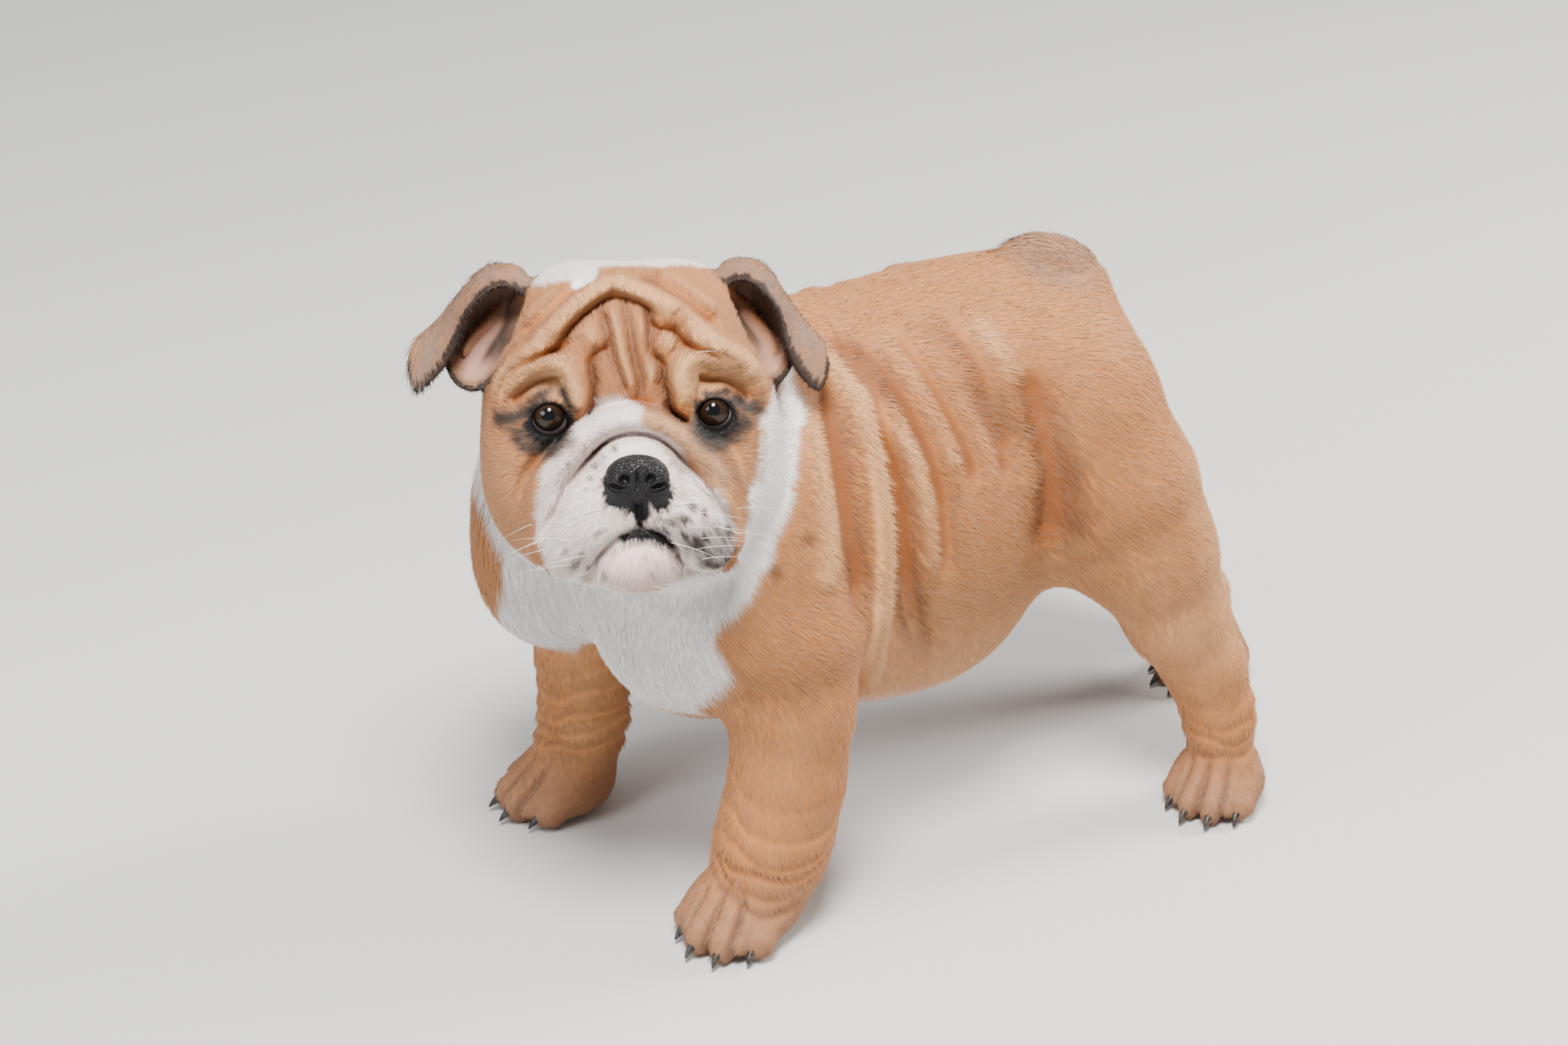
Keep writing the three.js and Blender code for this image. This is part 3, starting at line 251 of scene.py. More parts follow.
skull = Form()
skull.ball((0, 10, 30), (58, 56, 44), 16)
skull.ball((0, -20, 36), (44, 28, 32), 16)
skull.ball((0, -32, 12), (26, 18, 22), 12)
for side in SIDES:
    skull.ball((side * 26, 8, 40), (26, 34, 31), 16)
    skull.ball((side * 38, 2, 10), (27, 40, 34), 16)
    skull.ball((side * 38.5, -8, -19), (28, 40, 35), 16)
    skull.ball((side * 36, -24, 0), (24, 20, 24), 12)
skull.ball((0, -4, -42), (50, 44, 30), 18)
skull.ball((0, -40, -26), (38, 27, 27), 12)
for side in SIDES:
    skull.ball((side * 23 + 1, -47, -34), (20.5, 21, 21.5), 7)
    skull.ball((side * 33, -39, -46), (14, 22, 16), 8)
skull.ball((0, -43, -54), (24, 21, 13), 5)
skull.ball((1, -54, -10), (17, 12, 14), 8)
for side in SIDES:
    skull.ball((side * EYE_X, EYE_Y, EYE_Z), 11.2, 5)
skull.limb(smooth_line(NOSE_ROLL, 3), 4)
skull.limb(smooth_line(FOREHEAD_ROLL, 2), 5)
for side in SIDES:
    skull.limb([(side * x, y, z, radius) for x, y, z, radius in smooth_line(BROW, 2)], 5)
LID_OPENING = (8.1, 18, 7.2)
LID_TILT = 12
for side in SIDES:
    skull.ball((side * 36.2, -52, 9.9), LID_OPENING, 1.2, axes(0, 0, LID_TILT * side), cut=True)
    skull.ball((side * 57, -2, 42), (13, 20, 23), 3, axes(0, 0, -24 * side), cut=True)


# Skin: folds
# The loose skin stands in rolls with sharp creases between them: over the brow and nose, round
# the muzzle, in rings down the flank and above the feet. Each is a line with its rise or depth
# and half its width, on the face in x and z of the head, on the flank in y and z of the body.
MOUTH_LINE = [
    (-21, -60), (-19, -56), (-17, -50), (-14, -46), (-10, -42), (-5, -39),
    (1.5, -36.5), (8, -38), (13, -41), (17, -46), (18, -51), (22, -58),
]
NOSE_ROLL_INSIDE = [
    (-40, -38), (-36, -32), (-30, -20), (-25, -13), (-19, -6), (-11, 1), (-4, 3.5),
    (4, 3.5), (11, 1), (18, -5), (24, -12), (31, -21), (38, -32), (41, -40),
]
NOSE_ROLL_OUTSIDE = [
    (-51, -30), (-47, -16), (-40, -6), (-33, 1), (-25, 8), (-17, 13), (-8, 16),
    (1, 17), (10, 14.5), (18, 10), (26, 4), (35, -5), (42, -14), (49, -30),
]
FACE_FOLDS = [
    # the rope over the forehead, and the brows
    ([
        (-47, 34), (-41, 41.5), (-35, 47), (-29.5, 53), (-20.5, 60.5), (-13.4, 65), (-6.7, 67.7),
        (0.9, 64.4), (9.8, 61), (18.8, 56.2), (25.9, 49.7), (32.1, 44.7), (36.6, 41.5), (43, 38),
    ], 3.0, 4.2),
    ([
        (-55, 20), (-52.7, 27), (-47.3, 32), (-39.3, 35), (-32, 34),
        (-27.7, 29.5), (-25, 23), (-24, 18.5), (-26, 14),
    ], 2.4, 4.2),
    ([
        (52.7, 21.5), (51.8, 28), (46.4, 33.5), (36.6, 36.7), (27.7, 36),
        (22.3, 31), (21.5, 25), (23, 20), (26.8, 15.6),
    ], 2.4, 4.2),
    # pads and narrow rolls between them
    ([(-19, 48), (-15, 42)], 1.6, 3.5),
    ([(13, 45), (19, 40)], 2.2, 3.5),
    ([(27, 44), (33, 42)], 1.4, 3),
    ([(-8, 56), (-5, 43), (-2, 31), (0, 22)], 1.7, 2.2),
    ([(5, 53), (6, 43), (8, 34), (9, 24)], 1.7, 2.2),
    # the roll over the nose and the low one before it
    ([
        (-42, -28), (-35, -13), (-26, -2), (-14, 8), (1, 11), (13, 7), (25, -3), (34, -12), (42, -28),
    ], 3.0, 6),
    ([(-16, -8), (-9, -2), (1, 0.5), (11, -2), (18, -8)], 1.2, 3),
    # creases under and over the rope
    ([
        (-56, 14), (-53, 26), (-46, 33), (-38, 37), (-30, 40), (-27, 46), (-21, 53), (-13, 59), (-6, 63),
    ], -4.2, 2.0),
    ([
        (-6, 63), (0, 61), (8, 57), (9, 50), (13, 47), (19, 46), (22, 42), (26, 39), (33, 37), (43, 33),
    ], -3.8, 2.0),
    ([(-47, 41), (-39, 49), (-31, 57), (-23, 64), (-14, 70), (-5, 73)], -2.4, 2.4),
    ([(-46, 50), (-37, 58), (-28, 66), (-19, 72)], 1.2, 3.2),
    ([(4, 70), (14, 65), (23, 59), (30, 53), (38, 47)], -2.2, 2.4),
    ([(12, 71), (22, 66), (31, 59), (39, 52)], 1.3, 3.2),
    ([(19, 55), (23, 51), (25, 48)], -2.2, 1.8),
    # creases between the brows
    ([(-12, 56), (-10, 49), (-9, 41), (-14, 38), (-17, 33), (-16, 23), (-18, 14), (-21, 11)], -3.6, 2.0),
    ([(-9, 41), (-7, 33), (-4, 26), (-2, 20)], -2.2, 1.8),
    ([(-2, 59), (0, 47), (2, 33), (4, 26), (4, 18)], -2.6, 1.8),
    ([
        (9, 50), (8, 42), (9, 37), (14, 32), (14, 25), (16, 19), (17, 13), (21, 9), (25, 7),
    ], -3.8, 2.0),
    ([(-8, 76), (-8, 69)], -1.4, 2),
    ([(0, 76), (1, 69)], -1.4, 2),
    ([(9, 75), (12, 68)], -1.2, 2),
    # lids and cheek
    ([(-52, 16), (-47, 22), (-40, 26.5), (-31, 28), (-28, 27)], -3.0, 2.0),
    ([(51, 14), (46, 21), (40, 24.5), (33, 25.5), (29, 28)], -3.0, 2.0),
    ([(55, 20), (55, 5), (53, -15), (49, -30)], -1.4, 3),
    # round the muzzle
    (NOSE_ROLL_INSIDE, -3.6, 1.9),
    (NOSE_ROLL_OUTSIDE, -2.6, 2.2),
    (MOUTH_LINE, -4.4, 1.7),
    ([(-20, -57), (-27, -62), (-36, -60), (-44, -52)], -2.6, 2.2),
    ([(21, -56), (28, -60), (37, -57), (45, -48)], -2.6, 2.2),
    ([(1.2, -24), (1.5, -36)], -3.2, 1.4),
]
FLANK_FOLDS = [
    ([(-64, 256), (-67, 235), (-70, 218), (-74, 200), (-80, 184)], 1.8, 5),
    ([(-54, 262), (-57, 240), (-59, 219), (-59, 203), (-57, 187), (-58, 165)], -2.8, 4.5),
    ([
        (-50, 276), (-44, 267), (-39, 253), (-37, 235), (-37, 210), (-38, 187), (-40, 164),
        (-39, 136), (-30, 100),
    ], 3.2, 4.6),
    ([
        (-44, 279), (-38, 268), (-30, 256), (-31, 238), (-29, 218), (-27, 199), (-26, 178),
        (-22, 150), (-9, 118),
    ], -3.4, 4),
    ([(-34, 266), (-25, 240), (-18, 225), (-15, 208), (-13, 189), (-14, 166)], 2.0, 4.8),
    ([(-34, 276), (-22, 257), (-14, 243), (-9, 227), (-7, 209), (-8, 188), (-7, 164)], -2.0, 4.2),
    ([(-18, 277), (-12, 264), (-6, 251), (-1, 234), (3, 214)], 1.5, 4.8),
    ([(-12, 275), (-4, 260), (0, 250), (6, 236), (11, 222), (14, 205)], -1.8, 4.2),
    ([(-1, 272), (8, 255), (15, 237), (23, 219), (25, 201)], 1.4, 5),
    ([(3, 277), (8, 264), (14, 248), (23, 232), (29, 217), (31, 200)], -1.6, 4.6),
    ([(16, 281), (22, 268), (27, 255), (29, 241), (35, 226), (38, 214)], -1.4, 4.8),
    ([(25, 275), (35, 263), (43, 245), (46, 227), (48, 209), (49, 190)], 1.6, 7),
    ([(48, 250), (52, 223), (57, 204), (60, 188), (59, 160)], -3.0, 8),
]
# What the flank's rises and widths are multiplied by, and how much wider a crease is than a roll
FLANK_RISE = 1.45
FLANK_SPREAD = 1.25
CREASE_SPREAD = 1.15


def line_distance(q, points, steps=3):
    """Distance from points of a plane to a smooth line, and how far along it they lie, 0 to 1"""
    line = smooth_line(points, steps)
    best = np.full(len(q), 1e9)
    share = np.zeros(len(q))
    for i, (a, b) in enumerate(zip(line, line[1:])):
        run = b - a
        t = np.clip(((q - a) @ run) / (run @ run), 0, 1)
        d2 = ((q - a - t[:, None] * run) ** 2).sum(-1)
        closer = d2 < best
        best[closer] = d2[closer]
        share[closer] = (i + t[closer]) / (len(line) - 1)
    return np.sqrt(best), share


class Relief:
    """Folds of one side of the body laid on a plane, from which any point reads its rise"""

    def __init__(self, folds, low, high, step, most):
        self.low = np.array(low, float)
        self.step = step
        self.count = tuple(int((h - l) / step) + 1 for l, h in zip(low, high))
        spots = np.stack(np.meshgrid(*map(np.arange, self.count), indexing="ij"), -1).reshape(-1, 2)
        q = self.low + spots * step
        total = np.zeros(len(q))
        for points, rise, width in folds:
            d, share = line_distance(q, points)
            if rise < 0:
                width *= CREASE_SPREAD
            ends = np.minimum(1, np.minimum(share, 1 - share) * 8 + 0.25)
            total += rise * ends * np.exp(-((d / width) ** 2))
        self.grid = np.clip(total, -most, most).reshape(self.count)

    def at(self, q):
        place = np.clip((q - self.low) / self.step, 0, np.array(self.count) - 1.001)
        i, j = np.floor(place).astype(int).T
        u, v = (place - np.floor(place)).T
        g = self.grid
        low = g[i, j] * (1 - u) + g[i + 1, j] * u
        high = g[i, j + 1] * (1 - u) + g[i + 1, j + 1] * u
        return low * (1 - v) + high * v


face_relief = Relief(FACE_FOLDS, low=(-70, -75), high=(70, 80), step=0.5, most=5)
flank_relief = Relief(
    [(points, rise * FLANK_RISE, width * FLANK_SPREAD) for points, rise, width in FLANK_FOLDS],
    low=(-130, 80), high=(90, 310), step=1.0, most=4.5,
)
# Rings of loose skin above each foot: their heights, depths and how they tip outward
RING_WIDTH = 2.5
RINGS = {
    "front_left": ([(84, 0.7), (70, 0.7), (57, 1.1), (48, 1.9), (40, 2.0), (32, 1.4)], 0.35),
    "front_right": ([(78, 0.6), (66, 0.8), (54, 1.2), (46, 1.7), (38, 1.6)], -0.3),
    "hind_left": ([(66, 0.5), (54, 0.8), (45, 1.1), (36, 1.0)], 0.2),
    "hind_right": ([(62, 0.5), (51, 0.9), (42, 1.0)], -0.2),
}
RING_REACH = 46
# Grooves between the toes: how far to the side of the paw's middle
TOE_GROOVES = (-12.5, 0, 12.5)
GROOVE_DEPTH = 2.6
GROOVE_WIDTH = 2.0


def face_rise(q):
    """How far the folds of the face raise the skin, negative where it sinks into a fold"""
    return face_relief.at(q[:, [0, 2]]) * np.clip((-12 - q[:, 1]) / 14, 0, 1)


def body_rise(p):
    """How far folds, rings and the grooves of the toes raise the skin of the body"""
    side = np.clip((np.abs(p[:, 0]) - 16) / 22, 0, 1)
    left = p[:, 0] > 0
    shifted = p[:, [1, 2]] + np.where(left, 0, 5)[:, None] * np.array([1, -0.6])
    rise = flank_relief.at(shifted) * side * np.where(left, 1, 0.85)
    for paw, (rings, tip) in RINGS.items():
        x, y = PAWS[paw][:2]
        near = np.hypot(p[:, 0] - x, p[:, 1] - y) < RING_REACH
        around = np.arctan2(p[near, 1] - y, p[near, 0] - x)
        height = p[near, 2] + tip * (p[near, 0] - x)
        for level, depth in rings:
            wander = 1.6 * np.sin(around * 2 + level) + 0.9 * np.sin(around * 5 + level * 3)
            fade = 0.7 + 0.3 * np.sin(around + level * 2)
            rise[near] -= depth * fade * np.exp(-(((height + wander - level) / RING_WIDTH) ** 2))
        turn, size = PAWS[paw][2:]
        c, s = math.cos(math.radians(turn)), math.sin(math.radians(turn))
        u = ((p[near, 0] - x) * c + (p[near, 1] - y) * s) / size
        v = ((p[near, 0] - x) * s - (p[near, 1] - y) * c) / size
        toes = np.clip((v - 6) / 12, 0, 1) * np.clip((34 - p[near, 2]) / 8, 0, 1)
        for groove in TOE_GROOVES:
            aside = u - groove * (0.75 + v / 90)
            rise[near] -= GROOVE_DEPTH * toes * np.exp(-((aside / GROOVE_WIDTH) ** 2))
    return rise


# Skin: the ears
# Small thin ears set high, folded over and back so that their burr shows: each is a sheet of
# gristle and skin that runs from the ear hole over its crest to the margin.
CANAL = (52, 13, 41)
EAR_RAYS = [
    ((45, 13, 51), (40, 9, 60), (36, 2, 61)),
    ((50, 20, 56), (45, 11, 72), (42.5, -2, 63.5)),
    ((57, 22, 55), (54, 12, 73.5), (52.5, -5, 66)),
    ((62, 22, 50), (63.5, 12, 69.5), (61, -7, 61)),
    ((65, 20, 43), (71.5, 12, 57), (67.3, -8, 51)),
    ((68, 17, 37), (79, 11, 46), (70, -7.5, 38)),
    ((70, 15, 34), (85, 9, 39), (76, -4.5, 24.5)),
    ((71, 15, 33), (88, 8, 35), (85.5, 0, 15.5)),
    ((71, 16, 32.5), (84, 12, 37), (89.5, 6, 29)),
    ((69, 14, 31), (72, 13, 32), (75, 12, 33)),
    ((66, 11, 28), (70, 7, 27), (72.9, 1, 26.5)),
    ((60, 8, 26), (64, 3, 21.5), (66, -4, 19)),
    ((54, 6, 30), (56, 0, 24), (56, -5, 20)),
    ((48, 8, 37), (47, 1, 37), (45, -3, 37)),
    ((46, 10, 44), (43, 3, 49), (40, -2, 51)),
]
EAR_HALF_THICKNESS = 0.95
# The ridge of gristle that stands up inside the cup
EAR_RIDGE = [
    (52, 20, 56, 1.2), (55, 16.5, 50, 2.0), (60, 15, 43, 2.3), (64, 12.5, 37, 1.9), (66, 10, 32, 1.2),
]
EAR_SOFTNESS = 4
EAR_SPREAD = math.radians(9)
EAR_AROUND = 4
EAR_ALONG = 6


def ear_points(side):
    """The sheet of one ear: its points by ray and by step from the ear hole"""
    rays = np.array([(CANAL, *ray) for ray in EAR_RAYS], float)
    closed = np.concatenate([rays[-2:], rays, rays[:3]])
    flat = smooth_line(closed.reshape(len(closed), -1), EAR_AROUND)
    around = flat[2 * EAR_AROUND:(2 + len(rays)) * EAR_AROUND].reshape(-1, 4, 3)
    sheet = np.array([smooth_line(ray, EAR_ALONG) for ray in around])
    return ear_side(sheet, side)


def ear_side(p, side):
    """Points of the left ear as they are, or turned and spread to make the right one"""
    if side > 0:
        return p
    x, z = p[..., 0] - 38, p[..., 2] - 62
    return np.stack([
        -41 - x * math.cos(EAR_SPREAD) + z * math.sin(EAR_SPREAD),
        p[..., 1],
        60 + x * math.sin(EAR_SPREAD) + z * math.cos(EAR_SPREAD),
    ], -1)


ear_sheets = {side: ear_points(side) for side in SIDES}
ear_trees = {}
for side, sheet in ear_sheets.items():
    rays, steps = sheet.shape[:2]
    quads = [
        (i * steps + j, i * steps + j + 1, (i + 1) % rays * steps + j + 1, (i + 1) % rays * steps + j)
        for i in range(rays) for j in range(steps - 1)
    ]
    ear_trees[side] = BVHTree.FromPolygons(sheet.reshape(-1, 3).tolist(), quads)
ear_ridges = Form()
for side in SIDES:
    ridge = smooth_line(EAR_RIDGE, 3)
    ear_ridges.limb(np.hstack([ear_side(ridge[:, :3], side), ridge[:, 3:]]), 1)
EAR_CENTRES = {side: sheet.reshape(-1, 3).mean(0) for side, sheet in ear_sheets.items()}
EAR_REACH = 46


def ear_place(q):
    """How near an ear points are, 1 on it; 1 on its hollow side; and how far from ear hole to margin"""
    on = np.zeros(len(q))
    hollow = np.zeros(len(q))
    along = np.zeros(len(q))
    lie = np.zeros((len(q), 3))
    for side in SIDES:
        rays, steps = ear_sheets[side].shape[:2]
        away = np.linalg.norm(q - EAR_CENTRES[side], axis=-1)
        for i in np.nonzero(away < EAR_REACH + 6)[0]:
            spot, normal, face, far = ear_trees[side].find_nearest(q[i].tolist())
            if far > 7 or (far > 3 and on[i] > 0):
                continue
            ray, step = divmod(face, steps - 1)
            on[i] = 1 - max(far - 2, 0) / 5
            hollow[i] = (Vector(q[i].tolist()) - spot).dot(normal) * side < 0
            along[i] = step / (steps - 2)
            lie[i] = ear_sheets[side][ray, step + 1] - ear_sheets[side][ray, step]
    return on, hollow, along, lie


def ear_distance(q):
    d = np.full(len(q), 1000, np.float32)
    for side in SIDES:
        away = np.linalg.norm(q - EAR_CENTRES[side], axis=-1)
        d = np.minimum(d, np.maximum(away - EAR_REACH + 8, 8))
        near = np.nonzero(away < EAR_REACH)[0]
        find = ear_trees[side].find_nearest
        found = np.array([find(point)[3] for point in q[near].tolist()], np.float32)
        if len(near):
            d[near] = melt(np.minimum(found, 1000) - EAR_HALF_THICKNESS, ear_ridges.at(q[near]), 2)
    return d


# Skin: the whole of it
# The flesh lies under the outer surface of the coat by the depth of the fur, which is least on
# the face and feet, and the feet stand flat on the floor.
BODY_COAT = 1.0
FACE_COAT = 0.35
FOOT_COAT = 0.5


def to_head(p):
    return (p - HEAD_CENTRE) @ HEAD_AXES


def from_head(q):
    return q @ HEAD_AXES.T + HEAD_CENTRE


def ramp(value, low, high):
    """0 below low and 1 above high, smooth between"""
    t = np.clip((value - low) / (high - low), 0, 1)
    return t * t * (3 - 2 * t)


def skin_distance(p):
    foot = 1 - ramp(p[:, 2], 20, 60)
    d = body.at(p) + BODY_COAT + (FOOT_COAT - BODY_COAT) * foot
    close = np.abs(d) < 12
    d[close] -= body_rise(p[close])
    near = np.linalg.norm(p - HEAD_CENTRE, axis=-1) < HEAD_REACH
    if near.any():
        q = to_head(p[near])
        face = skull.at(q)
        close = np.abs(face) < 9
        face[close] -= face_rise(q[close])
        face = melt(face + FACE_COAT, ear_distance(q), EAR_SOFTNESS)
        d[near] = melt(d[near], face, HEAD_SOFTNESS)
    return np.maximum(d, -p[:, 2])


# Skin: its surface
# The form is read on a lattice that is even and fine round the head and opens out towards the
# hind feet, and a point is set in each of its cells that the surface passes through.
FINE_CELL = 1.0
FINE_CELLS = 95
OPENING = 0.014
SKIN_LOW = (-210, -140, -310)
SKIN_BLOCKS = (22, 34, 27)
BLOCK_LEVELS = 4


def opened(lattice):
    """Lattice points to millimetres, and the width of a cell there"""
    reach = np.linalg.norm(lattice, axis=-1, keepdims=True)
    beyond = np.maximum(reach - FINE_CELLS, 0)
    grown = (reach + OPENING * beyond**2 / 2) / np.maximum(reach, 1)
    width = FINE_CELL * (1 + OPENING * beyond[..., 0])
    return (HEAD_CENTRE + lattice * grown * FINE_CELL).astype(np.float32), width


def cell_corners(count):
    return np.stack(np.meshgrid(*[range(count)] * 3, indexing="ij"), -1).reshape(-1, 3)


def net(distance, place, low, blocks):
    """Points and four-sided faces over the zero level of a distance"""
    low = np.array(low)
    cells = np.stack(np.meshgrid(*[np.arange(n) for n in blocks], indexing="ij"), -1).reshape(-1, 3)
    for level in range(BLOCK_LEVELS, -1, -1):
        size = 2**level
        middle, width = place(low + (cells + 0.5) * size)
        cells = cells[np.abs(distance(middle)) < width * size * 1.4 + 1.6]
        if level:
            cells = (cells[:, None] * 2 + cell_corners(2)).reshape(-1, 3)
    counts = np.array(blocks) * 2**BLOCK_LEVELS + 2

    def key(at):
        return (at[..., 0] * counts[1] + at[..., 1]) * counts[2] + at[..., 2]

    corners = cell_corners(2)
    keys, corner_of = np.unique(key(cells[:, None] + corners), return_inverse=True)
    corner_of = corner_of.reshape(len(cells), 8)
    at = np.stack([keys // (counts[1] * counts[2]), keys // counts[2] % counts[1], keys % counts[2]], -1)
    value = distance(place(low + at)[0])[corner_of]
    inside = value < 0
    crossed = inside.any(1) & ~inside.all(1)
    cells, value, inside = cells[crossed], value[crossed], inside[crossed]

    total = np.zeros((len(cells), 3))
    times = np.zeros((len(cells), 1))
    for i in range(8):
        for j in range(i + 1, 8):
            if np.abs(corners[i] - corners[j]).sum() != 1:
                continue
            cut = inside[:, i] != inside[:, j]
            share = value[cut, i] / (value[cut, i] - value[cut, j])
            total[cut] += corners[i] + (corners[j] - corners[i]) * share[:, None]
            times[cut] += 1
    points = place(low + cells + total / times)[0]

    order = np.argsort(key(cells))
    sorted_keys = key(cells)[order]

    def find(neighbours):
        place = np.clip(np.searchsorted(sorted_keys, key(neighbours)), 0, len(sorted_keys) - 1)
        return np.where(sorted_keys[place] == key(neighbours), order[place], -1)

    faces = []
    for axis in range(3):
        step, one, two = np.eye(3, dtype=int)[[axis, (axis + 1) % 3, (axis + 2) % 3]]
        far = int(step @ (4, 2, 1))
        cut = inside[:, 0] != inside[:, far]
        base = cells[cut]
        ring = np.stack([
            np.nonzero(cut)[0], find(base - one), find(base - one - two), find(base - two),
        ], -1)
        outward = ~inside[cut, 0]
        ring[outward] = ring[outward][:, ::-1]
        faces.append(ring[(ring >= 0).all(1)])
    return points, np.concatenate(faces)


def slope(distance, p, reach=0.4):
    d = distance(p)
    step = np.eye(3, dtype=np.float32) * reach
    return d, np.stack([distance(p + step[i]) - d for i in range(3)], -1) / reach


def drawn_onto(distance, p, rounds):
    """Points moved onto the zero level, but by no more than a little"""
    for _ in range(rounds):
        d, n = slope(distance, p)
        steep = np.maximum((n**2).sum(-1, keepdims=True), 0.2)
        p = p - np.clip(n * d[:, None] / steep * 0.9, -0.4, 0.4)
    return p


def mesh_object(name, points, faces):
    """An object of points in millimetres, set down in the frame's metres"""
    mesh = bpy.data.meshes.new(name)
    mesh.from_pydata(((np.asarray(points) - MIDDLE) / 1000).tolist(), [], list(faces))
    mesh.polygons.foreach_set("use_smooth", [True] * len(mesh.polygons))
    mesh.update()
    made = bpy.data.objects.new(name, mesh)
    bpy.context.scene.collection.objects.link(made)
    return made


def mesh_points(mesh):
    points = np.empty(len(mesh.vertices) * 3, np.float32)
    mesh.vertices.foreach_get("co", points)
    return points.reshape(-1, 3) * 1000 + MIDDLE.astype(np.float32)


def store(mesh, name, values):
    mesh.attributes.new(name, "FLOAT", "POINT").data.foreach_set("value", np.asarray(values, np.float32))


SKIN_TRIANGLES = 190_000
rough_points, rough_faces = net(skin_distance, opened, SKIN_LOW, SKIN_BLOCKS)
rough_points = drawn_onto(skin_distance, rough_points, 1)
skin = mesh_object("skin", rough_points, rough_faces.tolist())
thinning = skin.modifiers.new("thinning", "DECIMATE")
thinning.ratio = SKIN_TRIANGLES / (2 * len(rough_faces))
evaluated = skin.evaluated_get(bpy.context.evaluated_depsgraph_get())
thinned = bpy.data.meshes.new_from_object(evaluated)
skin.modifiers.clear()
skin.data = thinned
skin_points = mesh_points(thinned)


# Skin: the markings
# Red fawn over a white ground, which shows at the crown, collar, bib, nose roll and muzzle.
NOISE_SIZE = 32
noise_values = np.random.default_rng(11).random((NOISE_SIZE,) * 3).astype(np.float32) * 2 - 1


def cloud(p, size):
    """Smooth random values between -1 and 1, with lumps of the size given"""
    q = p / size + 100
    i = np.floor(q).astype(int)
    t = q - i
    t = t * t * (3 - 2 * t)
    total = np.zeros(len(p), np.float32)
    for corner in cell_corners(2):
        weight = np.prod(np.where(corner, t, 1 - t), -1)
        x, y, z = ((i + corner) % NOISE_SIZE).T
        total += weight * noise_values[x, y, z]
    return total


# Edges of the collar and bib: how far back they lie at each height, on the left and right side,
# before the body's tan in the body's frame and behind the cheeks in the head's
COLLAR_BACK_LEFT = [
    (96, -105), (107, -105), (131, -114), (144, -120), (155, -125), (167, -127), (175, -125), (182, -119),
    (191, -111), (210, -101), (226, -88), (239, -78), (257, -69), (290, -66), (320, -64),
]
COLLAR_BACK_RIGHT = [
    (90, -136), (183, -136), (205, -140), (230, -136), (255, -116), (280, -88), (300, -72),
]
# How far out to the left and right the bib reaches at each height
BIB_LEFT = [(90, 36), (107, 41), (131, 70), (144, 81), (158, 90), (175, 110), (200, 150)]
BIB_RIGHT = [(90, -60), (108, -71), (125, -60), (145, -49), (163, -47), (183, -58), (198, -80), (215, -130)]
COLLAR_FRONT_LEFT = [
    (-68, -70), (-61, -20), (-45, -40), (-31, -43), (-18, -40),
    (-4, -38), (9, -34), (19, -7), (30, 8), (45, 18), (75, 30),
]
COLLAR_FRONT_RIGHT = [
    (-72, -70), (-66, -28), (-55, -24), (-45, -16), (-30, -6),
    (-15, 2), (0, 8), (20, 12), (45, 20), (75, 30),
]
CROWN_EDGE = [
    (-50, 8), (-47, 3), (-41, -9), (-29, -23), (-22, -27), (-16, -35), (-12, -12),
    (-2, -9), (14, -13), (26, -8), (33, -4), (44, 12),
]
# Outlines of the patches of the face in x and z of the head
MUZZLE_WHITE = [
    (-20, 13), (-28, 7), (-38, -10), (-42, -24), (-42, -38), (-40, -50), (-36, -64), (34, -64), (41, -50),
    (42, -38), (38, -24), (28, -15), (19, -2), (9, 5), (3, 9), (4, 15), (-2, 19), (-10, 18),
]
NOSE_BLACK = [
    (-14, -14), (-14, -22), (-12, -27), (-5, -28), (-2, -31), (2, -37), (5, -32),
    (6, -28), (13, -28), (16, -22), (15, -14), (9, -9), (-8, -9),
]
FLEW_BLACK = [
    (9, -36), (12, -31), (18, -31), (25, -33), (38, -35), (46, -47), (40, -54), (28, -56),
    (21, -50), (15, -42),
]
LIP_BLACK = [(-8, -41), (1, -36.5), (11, -39), (18, -45), (16, -47), (9, -43), (0, -41), (-6, -43)]
CHIN_PINK = [(-16, -51), (-10, -44), (1, -42), (12, -45), (19, -53), (20, -60), (2, -66), (-19, -58)]
TAN_ROLL = [
    (3, 15), (3, 9), (10, 5), (19, -3), (28, -16), (38, -22), (48, -20), (40, -4), (24, 10), (12, 17),
]
# Dark spots of the muzzle with their sizes, and moles of the flank
MUZZLE_SPOTS = [
    (-16, -37, 1.5), (-23, -46, 1.7), (-26, -51, 2.6), (-10, -46, 1.1), (14, -46, 1.2), (4, -49, 1.0),
    (-8, -2, 1.3), (-13, -5, 1.1), (-17, -9, 1.6), (38, -37, 1.8), (10, -32, 1.4), (-20, -52, 1.4),
    (-14, -56, 1.3), (-30, -44, 1.2), (6, -56, 1.0), (-21, -41, 0.9), (24, -27, 2.2), (20, -22, 1.7),
    (29, -29, 1.8), (-19, -14, 1.5), (-22, -19, 1.1),
]
EYE_SMUDGES = [
    ([(-44, 14), (-50, 11), (-56, 9)], 3.5), ([(-45, 6), (-41, -1), (-35, -2), (-29, 2)], 4.5),
    ([(-50, 5), (-46, -2)], 3), ([(-27, 6), (-26, 14), (-30, 21)], 2.2), ([(-44, 18), (-36, 22)], 2),
    ([(44, 16), (49, 14), (54, 10)], 3.2), ([(28, 3), (34, -2), (42, 0), (48, 6)], 4.5),
    ([(28, 6), (28, 15)], 2.2), ([(33, 19), (42, 19)], 2),
]
FLANK_MOLES = [(51, 59, 253, 1.6), (70, 77, 230, 1.3), (87, -84, 210, 4), (90, -102, 200, 3.5)]


